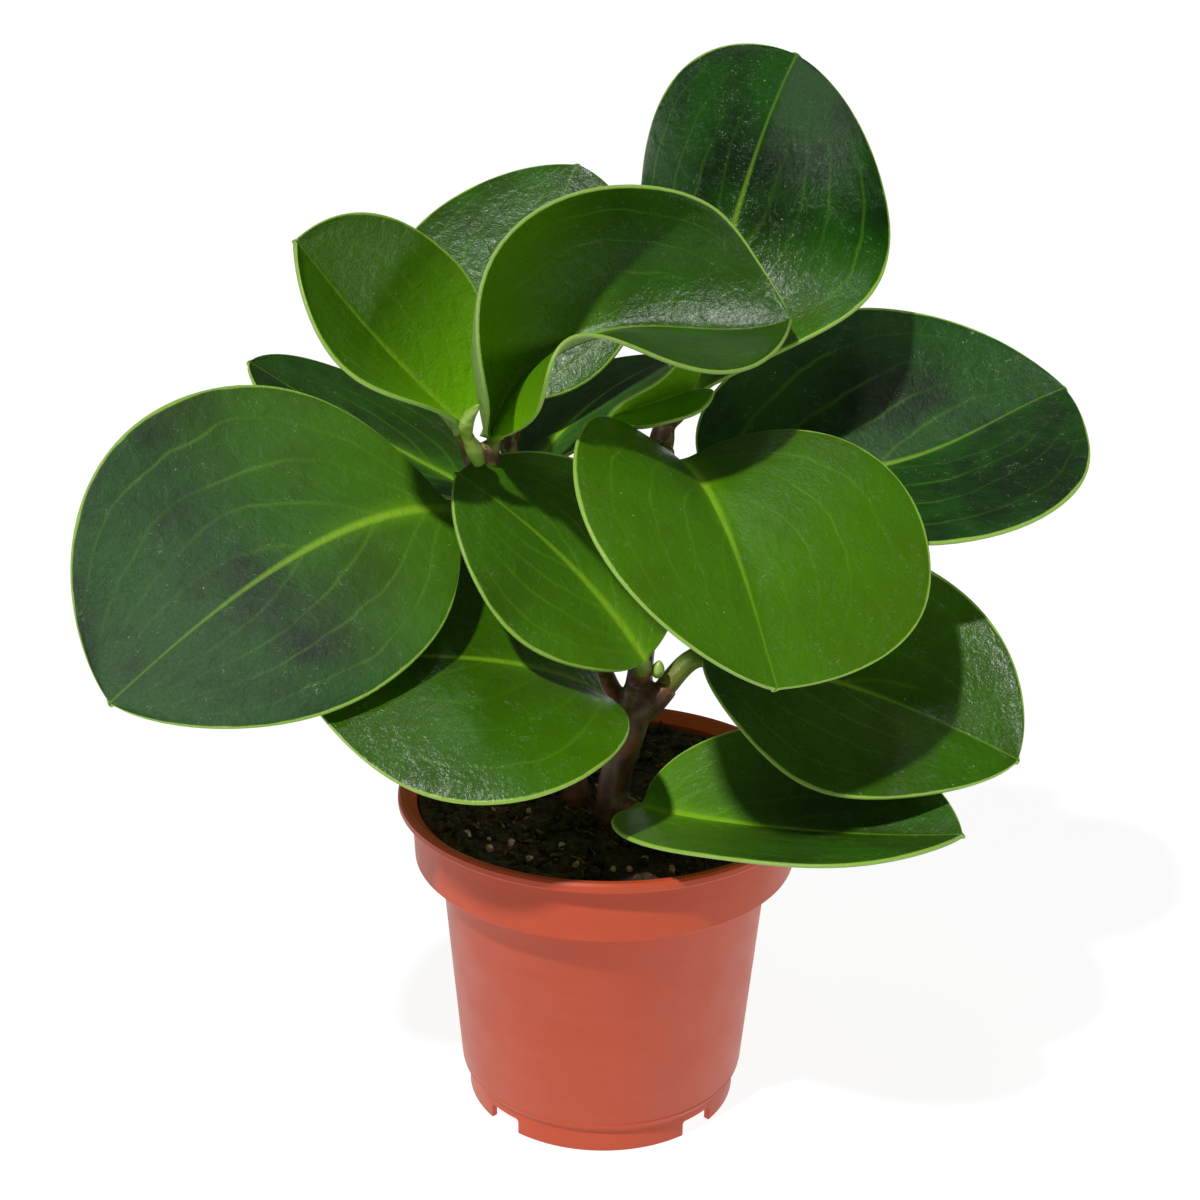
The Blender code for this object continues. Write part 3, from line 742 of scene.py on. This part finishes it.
def smoothed(s, column):
    """A column of the midrib read at shares s, on a smooth curve through its stations."""
    at = np.clip(s, 0, 1) * MIDRIB_STEPS
    low = np.minimum(at.astype(int), MIDRIB_STEPS - 1)
    u = (at - low)[:, None]
    slopes = np.gradient(column, axis=0)
    start, end = column[low], column[low + 1]
    return ((2 * u**3 - 3 * u**2 + 1) * start + (u**3 - 2 * u**2 + u) * slopes[low]
            + (3 * u**2 - 2 * u**3) * end + (u**3 - u**2) * slopes[low + 1])


def half_width(leaf, s):
    before = np.clip((leaf.widest - s) / leaf.widest, 0, 1)
    after = np.clip((s - leaf.widest) / (1 - leaf.widest), 0, 1)
    return (1 - before**2) ** leaf.base_round * (1 - after**2) ** leaf.tip_round


def blade_points(leaf, s, v):
    """The blade's middle surface at shares s (rows) of its length and v of its half width, left positive."""
    rib, along, left, up = (smoothed(s, column)[:, None] for column in midrib(leaf))
    s = s[:, None]
    leftward = v >= 0
    half = leaf.width / 2 * np.where(leftward, 1 + leaf.lean, 1 - leaf.lean)
    fullness = half_width(leaf, s)
    out = np.abs(v) * np.maximum(half * fullness, TIP_HALF)
    at_base = (1 - s) ** 2

    def both(pair):
        return np.radians(np.where(leftward, pair[0], pair[1]))

    slope = both(leaf.fold) + both(leaf.base_fold) * at_base
    bend = both(leaf.curl) / half + 1e-6
    sideways = (np.sin(slope + bend * out) - np.sin(slope)) / bend * np.where(leftward, 1, -1)
    raised = (np.cos(slope) - np.cos(slope + bend * out)) / bend
    swept = leaf.lobe * leaf.length * fullness * (1 - s) ** 3 * np.abs(v) ** 1.5
    points = rib + sideways[..., None] * left + raised[..., None] * up - swept[..., None] * along
    return points, out


print("the midrib of", LEAVES[0].name, "has", len(midrib(LEAVES[0])[0]), "stations")

# %% [markdown]
# ## Veins
# Thick leaves like these have a clear midrib and a few pale side veins.
# The side veins leave the midrib near the base, bend round, and then run towards the tip
# at a fixed share of the half width. The same rule is used twice: for shallow grooves in the mesh
# here, and for fine pale lines in the material below, so the two always agree.

# %% Lay out the side veins
# Each vein: where it leaves the midrib, the share of the half width that it reaches, how slowly it bends.
VEINS = ((0.00, 0.80, 0.10), (0.05, 0.56, 0.12), (0.20, 0.38, 0.13), (0.40, 0.24, 0.14))


def vein_grooves(s, v, half):
    """How deep the blade lies in a vein's groove, from 0 to 1."""
    deep = np.zeros(np.broadcast(s, v).shape)
    for start, reach, bend in VEINS:
        start = start + 0.03 * (v > 0)
        curve = np.exp(np.clip((start - s) / bend, -30, 5))
        away = np.abs(np.abs(v) - reach * (1 - curve)) * half / (1 + 0.45 * reach / bend * curve)
        deep = np.maximum(deep, np.exp(-((away / 0.0016) ** 2)) * (s > start) * (1 - s) ** 0.5)
    return deep


print(len(VEINS), "side veins on each half")

# %% [markdown]
# ## From a flat sheet to a leaf
# A leaf starts as a flat grid. It is rolled like paper into a tube: one part becomes the petiole,
# the leaf's stalk, and the rest is pressed flat into the blade, top and underside with a round edge.
# Rolling one sheet keeps stalk and blade in one skin. Each point also notes where it lies on the leaf:
# how far along, how far across, how wide the leaf is there, whether it is on the underside, and its finish.

# %% Roll a sheet into a leaf
EDGE_THICK = 0.0010
RIB_THICK = 0.0012
RIB_REACH = 0.0032
GAP = 0.0003
ARRIVAL = np.array((0.84, 0.0, 0.54))
PETIOLE_WIDENS = 0.3
PETIOLE_FLATTENS = 0.25
EDGE_TURNS = np.radians((0, 28, 58, 90))
INNER = 27
BLADE_RINGS = 58
PETIOLE_RINGS = 12
NOTES = ("along", "across", "half", "under", "tint", "bark", "gloss")


def across_shares(half):
    """Shares of the half width for each row: close together round the edge, even in between."""
    edge = EDGE_THICK / 2 / half[:, None]
    rim = 1 - edge * (1 - np.cos(EDGE_TURNS))[None, :]
    inner = np.linspace(-1, 1, INNER + 2)[None, 1:-1] * rim[:, -1:]
    return np.concatenate([-rim, inner, rim[:, ::-1]], axis=1)


def blade_rings(leaf):
    """Rings round the blade from its base to its tip, with the notes of each point."""
    s = 0.5 - 0.5 * np.cos(np.linspace(0.05, 1, BLADE_RINGS) * math.pi)
    half = np.maximum(leaf.width / 2 * half_width(leaf, s), TIP_HALF)
    v = across_shares(half)
    points, out = blade_points(leaf, s, v)
    normals = np.cross(np.gradient(points, axis=0), np.gradient(points, axis=1))
    normals /= np.linalg.norm(normals, axis=2, keepdims=True)
    turns = np.concatenate([EDGE_TURNS, np.full(INNER, math.pi / 2), EDGE_TURNS[::-1]])
    thick = EDGE_THICK / 2 * np.sin(turns)[None, :]
    base = np.exp(-s[:, None] / 0.05)
    rib = (RIB_THICK * (1 - s[:, None]) + 0.0011 * base) * np.exp(-((out / RIB_REACH) ** 2))
    groove = 0.00006 * vein_grooves(s[:, None], v, half[:, None]) * (1 - base)
    groove = groove + 0.00020 * np.exp(-((out / 0.0015) ** 2)) * (1 - s[:, None])
    ripple = 0.0007 * np.sin(9 * s[:, None] + 3 * v + len(leaf.name)) * np.abs(v) ** 3 * (1 - base)
    edge_free = np.sin(turns)[None, :]
    points = points + normals * ripple[..., None]
    top = points + normals * (thick - groove * edge_free)[..., None]
    bottom = points - normals * (thick + (rib + 0.3 * groove) * edge_free)[..., None]
    rings = np.concatenate([top, bottom[:, -2:0:-1]], axis=1)
    flat = np.broadcast_to
    wide = flat(half[:, None], v.shape)
    tint = leaf.tint[0] + (leaf.tint[1] - leaf.tint[0]) * np.minimum(1, s * 1.8)[:, None]
    edge = np.where(np.abs(v) > 0.99999, 0.5, 0.0)
    notes = (flat(s[:, None], v.shape), v, wide, edge, flat(tint, v.shape), np.zeros(v.shape),
             np.full(v.shape, leaf.gloss))
    under = (*notes[:3], 1 - edge, *notes[4:])
    return rings, [np.concatenate([a, b[:, -2:0:-1]], axis=1) for a, b in zip(notes, under)]


def petiole_rings(leaf, start, leave, around):
    """Rings from the petiole's root to the blade's base, in the leaf's own lengths."""
    reach = np.linalg.norm(start)
    first, last = start + leave * reach / 3, -ARRIVAL * reach / 3
    shares = np.linspace(0, 1, PETIOLE_RINGS)[:-1, None]
    path = (1 - shares) ** 3 * start + 3 * (1 - shares) ** 2 * shares * first
    path = path + 3 * (1 - shares) * shares**2 * last
    slopes = 3 * (1 - shares) ** 2 * (first - start) + 6 * (1 - shares) * shares * (last - first)
    slopes = slopes - 3 * shares**2 * last
    angles = math.pi - math.tau * np.arange(around) / around
    left = np.array([0.0, 1.0, 0.0])
    rings = []
    for share, place, slope in zip(shares[::-1, 0], path[::-1], slopes[::-1]):
        slope = slope / np.linalg.norm(slope)
        left = left - slope * (left @ slope)
        left = left / np.linalg.norm(left)
        up = np.cross(slope, left)
        wide = leaf.petiole * (1 + PETIOLE_WIDENS * share**3)
        tall = leaf.petiole * (1 - PETIOLE_FLATTENS * share**3)
        middle = place - up * (tall - EDGE_THICK / 2) * share**6
        rings.append(middle + wide * np.cos(angles)[:, None] * left + tall * np.sin(angles)[:, None] * up)
    shape = (len(rings), around)
    notes = [np.broadcast_to(shares - 1, shape), np.zeros(shape), np.full(shape, leaf.petiole),
             np.full(shape, 0.5), np.full(shape, leaf.tint[0]),
             np.broadcast_to(np.clip(leaf.bark * 1.6 - shares, 0, 1), shape), np.full(shape, leaf.gloss)]
    return np.array(rings[::-1]), notes


def clear_start(room, leave, radius):
    return (room + GAP + radius * abs(leave.z)) / leave.xy.length


def leaf_root(leaf):
    """Where the petiole leaves its stem, and which way."""
    towards = Vector(leaf.base) - Vector(leaf.stem)
    towards.z = min(towards.z, leaf.steepest * towards.xy.length)
    leave = towards.normalized()
    return Vector(leaf.stem) + leave * clear_start(leaf.room, leave, leaf.petiole), leave


def roll_leaf(leaf, paint):
    place = Matrix.LocRotScale(Vector(leaf.base), leaf.turn(), None)
    start, leave = leaf_root(leaf)
    start = start - leave * min(0.0022, leaf.room)
    blade, blade_notes = blade_rings(leaf)
    local = place.inverted()
    petiole, petiole_notes = petiole_rings(
        leaf, np.array(local @ start), np.array(local.to_3x3() @ leave), blade.shape[1]
    )
    last = blade[-1].mean(axis=0)
    ahead = (last - blade[-3].mean(axis=0))
    ahead = ahead / np.linalg.norm(ahead)
    tip = np.array([last + (blade[-1] - last) * shrink + ahead * reach
                    for shrink, reach in ((0.75, 0.0004), (0.35, 0.0007))])
    rings = np.concatenate([petiole, blade, tip])
    rings = np.concatenate([rings, rings[:, :1]], axis=1)
    points = rings.reshape(-1, 3) @ np.array(place.to_3x3()).T + np.array(place.translation)
    rows, columns = rings.shape[:2]
    deselect()
    bpy.ops.mesh.primitive_grid_add(x_subdivisions=columns - 1, y_subdivisions=rows - 1, size=0.1)
    piece = newest(leaf.name + "_skin")
    piece.data.vertices.foreach_set("co", points.ravel())
    for name, low, high in zip(NOTES, petiole_notes, blade_notes):
        values = np.concatenate([low, high, high[-1:], high[-1:]])
        values = np.concatenate([values, values[:, :1]], axis=1)
        piece.data.attributes.new(name, "FLOAT", "POINT").data.foreach_set("value", values.ravel())
    edit(piece)
    bpy.ops.mesh.remove_doubles(threshold=1e-7)
    bpy.ops.mesh.select_all(action="SELECT")
    bpy.ops.mesh.fill_holes(sides=0)
    bpy.ops.mesh.select_all(action="SELECT")
    bpy.ops.mesh.normals_make_consistent(inside=False)
    done_editing()
    settle(piece)
    bpy.ops.object.shade_smooth()
    piece.data.materials.append(paint)
    return piece


print("a leaf is rolled from", BLADE_RINGS + PETIOLE_RINGS + 1, "rings")

# %% [markdown]
# ## The marks on a leaf, as a node group
# The pale lines of the veins, the pale edge and the fine scratches are needed on every leaf.
# They are built once as a node group. It takes where a point lies on the leaf and gives masks,
# and the material then decides what colour each mask means.

# %% Build the vein marks
def one_vein(tree, s, v, half, start, reach, bend):
    """How far a point is from one side vein, in metres."""
    curve = maths(tree, "EXPONENT", maths(tree, "DIVIDE", maths(tree, "SUBTRACT", start, s), bend))
    level = maths(tree, "MULTIPLY", maths(tree, "SUBTRACT", 1.0, curve), reach)
    away = maths(tree, "ABSOLUTE", maths(tree, "SUBTRACT", maths(tree, "ABSOLUTE", v), level))
    steep = maths(tree, "ADD", maths(tree, "MULTIPLY", curve, 0.45 * reach / bend), 1.0)
    return maths(tree, "DIVIDE", maths(tree, "MULTIPLY", away, half), steep)


veins, given, result = new_group(
    "leaf veins", (("Along", 0.5), ("Across", 0.0), ("Half", 0.03)), ("Midrib", "Glow", "Side veins", "Edge")
)
s, v, half = given["Along"], given["Across"], given["Half"]
wander = maths(veins, "MULTIPLY", maths(veins, "SUBTRACT", noise(veins, 45, 2), 0.5), 0.16)
v_wander = maths(veins, "ADD", v, wander)
s_side = maths(veins, "SUBTRACT", s, maths(veins, "MULTIPLY", maths(veins, "GREATER_THAN", v, 0.0), 0.03))
nearest = 1.0
for start, reach, bend in VEINS:
    nearest = maths(veins, "MINIMUM", nearest, one_vein(veins, s_side, v_wander, half, start, reach, bend))
fades = ramp(veins, s, 0.45, 0.95, 1.0, 0.15)
faint = ramp(veins, noise(veins, 35, 2), 0.35, 0.65, 0.25, 1.0)
line = maths(veins, "MULTIPLY", ramp(veins, nearest, 0.0, 0.0007, 1, 0), fades)
feed(veins, result["Side veins"], maths(veins, "MULTIPLY", line, faint))
off_rib = maths(veins, "MULTIPLY", maths(veins, "ABSOLUTE", v), half)
rib_wide = ramp(veins, s, 0.0, 0.9, 0.0022, 0.0005)
midline = ramp(veins, maths(veins, "DIVIDE", off_rib, rib_wide), 0.1, 1.0, 1, 0)
feed(veins, result["Midrib"], midline)
glow = maths(veins, "MULTIPLY", ramp(veins, off_rib, 0.0, 0.0065, 1, 0), ramp(veins, s, 0.0, 0.55, 1, 0))
feed(veins, result["Glow"], glow)
to_edge = maths(veins, "MULTIPLY", maths(veins, "SUBTRACT", 1.0, maths(veins, "ABSOLUTE", v)), half)
uneven = maths(veins, "MULTIPLY", noise(veins, 120, 2), 0.0010)
feed(veins, result["Edge"], ramp(veins, maths(veins, "SUBTRACT", to_edge, uneven), 0.0, 0.0005, 1, 0))
print("the vein group has", len(veins.nodes), "nodes")

# %% [markdown]
# ## Scratches and wax
# Old leaves carry hair-fine scratches, specks of dust, and a wax coat that wrinkles under the light.
# A scratch is where a noise passes through one value, which draws a thin winding line.
# A second noise breaks the lines into short strokes. A third, finer one is the wrinkled wax.

# %% Build the scratches
scratches, given, result = new_group("leaf wear", (("Amount", 1.0),), ("Strokes", "Specks", "Wax"))
strokes = None
for scale, stretch in ((420, (1, 1.8, 1)), (560, (1.7, 1, 1.3))):
    field = noise(scratches, scale, 1, 0.4, place_in_object(scratches, stretch), 0.8)
    line = ramp(scratches, maths(scratches, "ABSOLUTE", maths(scratches, "SUBTRACT", field, 0.5)), 0.002, 0.010, 1, 0)
    broken = ramp(scratches, noise(scratches, scale * 0.5, 2, 0.5, place_in_object(scratches, (1, 1, 1))), 0.56, 0.62)
    line = maths(scratches, "MULTIPLY", line, broken)
    strokes = line if strokes is None else maths(scratches, "MAXIMUM", strokes, line)
feed(scratches, result["Strokes"], maths(scratches, "MULTIPLY", strokes, given["Amount"]))
cells = scratches.nodes.new("ShaderNodeTexVoronoi")
cells.inputs["Scale"].default_value = 150
scratches.links.new(place_in_object(scratches), cells.inputs["Vector"])
specks = ramp(scratches, cells.outputs["Distance"], 0.02, 0.045, 1, 0)
feed(scratches, result["Specks"], maths(scratches, "MULTIPLY", specks, given["Amount"]))
fine = noise(scratches, 900, 4, 0.6, twirl=1.2)
broad = noise(scratches, 240, 3, 0.5, twirl=0.6)
feed(scratches, result["Wax"], maths(scratches, "ADD", fine, maths(scratches, "MULTIPLY", broad, 2.5)))
print("the wear group has", len(scratches.nodes), "nodes")

# %% [markdown]
# ## The leaf's own material
# The upper face is deep green under clear wax, paler along veins and edge and near the base. There young leaves are
# paler, and painted light stands for the light shining through the leaf.
# How smooth that wax is comes from the leaf's own gloss, so that one leaf shines and the next is dull.
# The underside is pale and duller. The petiole starts brown at the stem and turns green.
# One material reads the notes on each point and covers all of that, so that no seam shows.

# %% Mix the leaf material
DEEP_GREEN = shade_of(9, 38, 1)
MID_GREEN = shade_of(21, 72, 1)
# The young green is the colour of young leaves, made brighter as painted light that shines through a leaf's base.
YOUNG_AND_BACKLIT_GREEN = shade_of(116, 180, 4)
RIB_GREEN = shade_of(138, 186, 34)
VEIN_GREEN = shade_of(98, 150, 24)
EDGE_GREEN = shade_of(150, 190, 72)
UNDER_GREEN = shade_of(142, 172, 92)
PETIOLE_GREEN = shade_of(120, 150, 50)
PETIOLE_BROWN = shade_of(104, 62, 42)
DUST = shade_of(176, 200, 150)


def mix_leaf(name):
    made, tree, shader = new_material(name, specular_ior_level=0.4)
    s, v, half = attribute(tree, "along"), attribute(tree, "across"), attribute(tree, "half")
    under = ramp(tree, attribute(tree, "under"), 0.45, 0.55)
    tint, bark, gloss = attribute(tree, "tint"), attribute(tree, "bark"), attribute(tree, "gloss")
    marks = use_group(tree, veins, along=s, across=v, half=half)
    wear = use_group(tree, scratches, amount=1.0)
    patches = ramp(tree, noise(tree, 38, 3, 0.6), 0.35, 0.65)
    green = blend(tree, patches, DEEP_GREEN, MID_GREEN)
    green = blend(tree, tint, green, YOUNG_AND_BACKLIT_GREEN)
    green = blend(tree, maths(tree, "MULTIPLY", marks["Glow"], 0.45), green, YOUNG_AND_BACKLIT_GREEN)
    green = blend(tree, maths(tree, "MULTIPLY", marks["Side veins"], 0.30), green, VEIN_GREEN)
    rib = maths(tree, "MULTIPLY", marks["Midrib"], ramp(tree, s, 0.0, 0.9, 0.95, 0.25))
    green = blend(tree, rib, green, RIB_GREEN)
    green = blend(tree, maths(tree, "MULTIPLY", marks["Edge"], 0.85), green, EDGE_GREEN)
    green = blend(tree, maths(tree, "MULTIPLY", wear["Strokes"], 0.28), green, DUST)
    green = blend(tree, maths(tree, "MULTIPLY", wear["Specks"], 0.5), green, DUST)
    below = blend(tree, maths(tree, "MULTIPLY", marks["Side veins"], 0.4), UNDER_GREEN, MID_GREEN)
    green = blend(tree, under, green, below)
    stalk = ramp(tree, s, -0.08, 0.0, 1, 0)
    stalk_colour = blend(tree, bark, PETIOLE_GREEN, PETIOLE_BROWN)
    feed(tree, shader.inputs["Base Color"], blend(tree, stalk, green, stalk_colour))
    waxy = maths(tree, "MULTIPLY", gloss, ramp(tree, under, 0, 1, 1.0, 0.4))
    feed(tree, shader.inputs["Roughness"], ramp(tree, waxy, 0.0, 1.0, 0.62, 0.26))
    height = maths(tree, "MULTIPLY", marks["Midrib"], -0.3)
    height = maths(tree, "SUBTRACT", height, maths(tree, "MULTIPLY", marks["Side veins"], 0.3))
    waxed = bump(tree, wear["Wax"], 0.00016, 1.0)
    scored = bump(tree, wear["Strokes"], 0.00005, 0.6, under=waxed)
    feed(tree, shader.inputs["Normal"], bump(tree, height, 0.0003, 0.6, under=scored))
    return made


leaf_paints = {"leaf": mix_leaf("waxy leaf"), "young_leaf": mix_leaf("young leaf")}
print("mixed", ", ".join(paint.name for paint in leaf_paints.values()))

# %% Roll all the leaves
for leaf in LEAVES:
    piece = roll_leaf(leaf, leaf_paints[leaf.slot])
    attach(piece, "root")
    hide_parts(leaf.name)
print("the last leaf has", len(piece.data.polygons), "faces")

# %% [markdown]
# ## Stems that grow together
# The main stem forks, and every petiole sits on a small swelling. Separate tubes would show hard joins.
# So all stems and swellings are first made as tubes, joined, and then fused with a Remesh modifier,
# which replaces them by one even skin. A Smooth modifier softens the forks, as bark does.

# %% Draw the stems
MAIN_STEM = (
    ((0.0018, -0.0138, 0.0790), 0.0046), ((0.0018, -0.0138, 0.0860), 0.0046),
    ((0.0026, -0.0133, 0.0990), 0.0041), ((0.0066, -0.0115, 0.1130), 0.0042),
    ((0.0086, -0.0065, 0.1260), 0.0033), ((0.0098, 0.0030, 0.1420), 0.0033),
    ((0.0112, 0.0094, 0.1600), 0.0033), ((0.0128, 0.0085, 0.1800), 0.0032),
    ((0.0138, 0.0075, 0.1885), 0.0024),
)
BACK_STEM = (
    ((-0.0078, -0.0025, 0.0790), 0.0039), ((-0.0078, -0.0025, 0.0860), 0.0039),
    ((-0.0110, 0.0040, 0.1080), 0.0035), ((-0.0165, 0.0115, 0.1350), 0.0032),
    ((-0.0235, 0.0165, 0.1600), 0.0029), ((-0.0260, 0.0200, 0.1740), 0.0025),
    ((-0.0265, 0.0215, 0.1790), 0.0018),
)
LEFT_BRANCH = (
    ((0.0066, -0.0115, 0.1115), 0.0036), ((0.0008, -0.0060, 0.1193), 0.0031),
    ((-0.0060, 0.0020, 0.1310), 0.0030), ((-0.0170, 0.0055, 0.1500), 0.0030),
    ((-0.0270, 0.0035, 0.1660), 0.0029), ((-0.0318, 0.0015, 0.1745), 0.0022),
)
STEM_SIDES = 20
STEM_STEP = 0.0020


def smooth_path(points):
    """Places and radii every couple of millimetres on a smooth curve through (place, radius) pairs."""
    values = np.array([(*place, radius) for place, radius in points])
    slopes = np.gradient(values, axis=0)
    path = []
    for index in range(len(values) - 1):
        start, end = values[index], values[index + 1]
        pieces = max(2, round(np.linalg.norm(end[:3] - start[:3]) / STEM_STEP))
        for u in np.arange(pieces) / pieces:
            path.append(
                (2 * u**3 - 3 * u**2 + 1) * start + (u**3 - 2 * u**2 + u) * slopes[index]
                + (3 * u**2 - 2 * u**3) * end + (u**3 - u**2) * slopes[index + 1]
            )
    path.append(values[-1])
    return np.array(path)


def stem_tube(points, rings_every=0.017):
    """A tube along the points, with a slight swelling at every leaf scar."""
    path = smooth_path(points)
    run = np.concatenate([[0], np.cumsum(np.linalg.norm(np.diff(path[:, :3], axis=0), axis=1))])
    swell = 1 + 0.10 * np.exp(-(((run % rings_every) - rings_every / 2) / 0.0012) ** 2)
    rings = tube_rings(path[:, :3], path[:, 3] * swell, STEM_SIDES)
    return np.concatenate(rings), tube_faces(len(rings), STEM_SIDES)


def swelling(leaf):
    """A short tube that widens where a petiole meets its stem."""
    start, leave = leaf_root(leaf)
    root, radius = Vector(leaf.stem), leaf.petiole
    end = start + leave * 0.0035
    path = [np.array(root.lerp(end, u)) for u in np.linspace(0, 1, 6)]
    rings = tube_rings(path, [radius * k for k in (1.15, 1.3, 1.35, 1.28, 1.15, 0.98)], STEM_SIDES)
    return np.concatenate(rings), tube_faces(len(rings), STEM_SIDES)


tubes = [stem_tube(points) for points in (MAIN_STEM, BACK_STEM, LEFT_BRANCH)]
tubes += [swelling(leaf) for leaf in LEAVES]
points, faces = [], []
for tube_points, tube in tubes:
    first = sum(map(len, points))
    points.append(tube_points)
    faces += [[first + corner for corner in face] for face in tube]
print("drew", len(tubes), "tubes")

# %% [markdown]
# ## Bark
# The stems are soft and brown, with reddish and olive patches and fine lengthwise lines.
# Greener patches show near the leaves, where the skin is younger.

# %% Mix the bark
STEM_BROWN = shade_of(104, 70, 40)
STEM_DARK = shade_of(62, 38, 22)
STEM_RED = shade_of(128, 66, 48)
STEM_OLIVE = shade_of(112, 116, 44)

bark_paint, tree, shader = new_material("young bark", coat_weight=0.15, coat_roughness=0.35)
streaks = noise(tree, 260, 5, 0.6, place_in_object(tree, (1, 1, 0.25)))
colour = blend(tree, ramp(tree, streaks, 0.35, 0.65), STEM_DARK, STEM_BROWN)
colour = blend(tree, ramp(tree, noise(tree, 90, 3), 0.5, 0.65), colour, STEM_RED)
olive = maths(tree, "MULTIPLY", ramp(tree, noise(tree, 420, 4), 0.52, 0.62), attribute(tree, "green"))
colour = blend(tree, olive, colour, STEM_OLIVE)
feed(tree, shader.inputs["Base Color"], colour)
feed(tree, shader.inputs["Roughness"], ramp(tree, streaks, 0.3, 0.7, 0.55, 0.4))
feed(tree, shader.inputs["Normal"], bump(tree, streaks, 0.0003, 0.7))
print("mixed", bark_paint.name)

# %% Fuse the stems
stems = mesh_piece("stems_skin", np.concatenate(points), faces, bark_paint)
fuse = stems.modifiers.new("fuse", "REMESH")
fuse.mode = "VOXEL"
fuse.voxel_size = 0.00055
soften = stems.modifiers.new("soften", "SMOOTH")
soften.factor = 0.5
soften.iterations = 5
apply_all(stems)
bpy.ops.object.shade_smooth()
heights = np.empty(len(stems.data.vertices) * 3)
stems.data.vertices.foreach_get("co", heights)
greener = np.clip((heights[2::3] - 0.100) / 0.06, 0.15, 1)
stems.data.attributes.new("green", "FLOAT", "POINT").data.foreach_set("value", greener)
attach(stems, "root")
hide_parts("stem_main", "stem_back", "stem_left_branch")
print("the stems have", len(stems.data.polygons), "faces")

# %% [markdown]
# ## The buds
# A pale green shoot curls up like a small horn between two leaves, and a tiny side bud sits on the fork.
# The horn is a tube along a curve whose radius swells and narrows, with a sheath around its lower half.
# The side bud is a ball, stretched upwards in edit mode and then narrowed towards its top.

# %% Mix the bud skin
BUD_GREEN = shade_of(176, 204, 96)
BUD_DEEP = shade_of(120, 158, 48)
bud_paint, tree, shader = new_material("bud skin", coat_weight=0.25, coat_roughness=0.25, roughness=0.4)
feed(tree, shader.inputs["Base Color"],
     blend(tree, ramp(tree, noise(tree, 240, 3), 0.35, 0.65), BUD_DEEP, BUD_GREEN))
feed(tree, shader.inputs["Normal"], bump(tree, noise(tree, 1200, 3), 0.00008))
print("mixed", bud_paint.name)

# %% Shape the buds
HORN = (
    ((-0.0325, -0.0092, 0.1812), 0.0014), ((-0.0334, -0.0100, 0.1843), 0.0019),
    ((-0.0346, -0.0145, 0.1886), 0.0014), ((-0.0346, -0.0205, 0.1932), 0.0018),
    ((-0.0335, -0.0225, 0.1965), 0.0015), ((-0.0317, -0.0235, 0.1988), 0.0008),
    ((-0.0311, -0.0238, 0.1994), 0.0002),
)
SHEATH = (
    ((-0.0322, -0.0090, 0.1805), 0.0015), ((-0.0334, -0.0100, 0.1843), 0.0021),
    ((-0.0340, -0.0122, 0.1866), 0.0018), ((-0.0345, -0.0140, 0.1882), 0.0011),
)
points, faces = [], []
for outline in (HORN, SHEATH):
    path = smooth_path(outline)
    first = sum(map(len, points))
    points += tube_rings(path[:, :3], path[:, 3], STEM_SIDES)
    faces += tube_faces(len(path), STEM_SIDES, first)
horn = mesh_piece("bud_horn_skin", np.concatenate(points), faces, bud_paint)
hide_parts("bud_horn")

SIDE_BUD = (0.0127, -0.0133, 0.1283)
deselect()
bpy.ops.mesh.primitive_uv_sphere_add(segments=24, ring_count=16, radius=0.0018, location=SIDE_BUD)
side = newest("bud_side_skin")
edit(side)
bpy.ops.transform.resize(value=(1, 1, 1.35), center_override=SIDE_BUD)
done_editing()
settle(side)
for vertex in side.data.vertices:
    above = max(0.0, vertex.co.z - SIDE_BUD[2]) / 0.0024
    narrow = 1 - 0.35 * above
    vertex.co.x = SIDE_BUD[0] + (vertex.co.x - SIDE_BUD[0]) * narrow + 0.0004 * above
    vertex.co.y = SIDE_BUD[1] + (vertex.co.y - SIDE_BUD[1]) * narrow
side.data.materials.append(bud_paint)
pick(side)
bpy.ops.object.shade_smooth()
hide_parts("bud_side")
for piece in (horn, side):
    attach(piece, "root")
print("shaped", horn.name, "and", side.name)

# %% [markdown]
# ## Floor and light
# The plant stands on a plain white surface under studio light.
# A far lamp high on the front left gives the clear shadows of one leaf on another.
# A second on the front right and a third above draw the wrinkled highlights on the wax,
# and the pale room fills the rest.

# %% Lay the floor
deselect()
bpy.ops.mesh.primitive_plane_add(size=30)
floor = newest("floor")
floor_paint, tree, shader = new_material("light table", roughness=0.9, emission_strength=0.92)
shader.inputs["Base Color"].default_value = (0.16, 0.16, 0.16, 1)
shader.inputs["Emission Color"].default_value = (1, 1, 1, 1)
floor.data.materials.append(floor_paint)
print("laid the floor")

# %% Set the lights
def lamp(name, place, aim, size, power, colour=(1, 1, 1)):
    data = bpy.data.lights.new(name, "AREA")
    data.size = size
    data.energy = power
    data.color = colour
    made = bpy.data.objects.new(name, data)
    bpy.context.scene.collection.objects.link(made)
    made.location = place
    made.rotation_euler = (Vector(aim) - Vector(place)).to_track_quat("-Z", "Y").to_euler()


def sun(name, azimuth, height, strength, spread):
    """A far lamp, seen at an azimuth and at a height above level, both in degrees."""
    data = bpy.data.lights.new(name, "SUN")
    data.energy = strength
    data.angle = math.radians(spread)
    made = bpy.data.objects.new(name, data)
    bpy.context.scene.collection.objects.link(made)
    made.rotation_euler = (0, math.radians(90 - height), math.radians(azimuth))


sun("key", -126, 55, 2.7, 3)
lamp("front right", (0.80, -0.50, 0.50), (0, 0, 0.17), 0.14, 1.1)
lamp("above", (0.20, 0.07, 1.35), (0, 0, 0.15), 0.14, 1.3)
world = bpy.data.worlds.new("pale room")
world.use_nodes = True
world.node_tree.nodes["Background"].inputs["Color"].default_value = (1, 1, 1, 1)
world.node_tree.nodes["Background"].inputs["Strength"].default_value = 0.06
bpy.context.scene.world = world
print("set the lights")
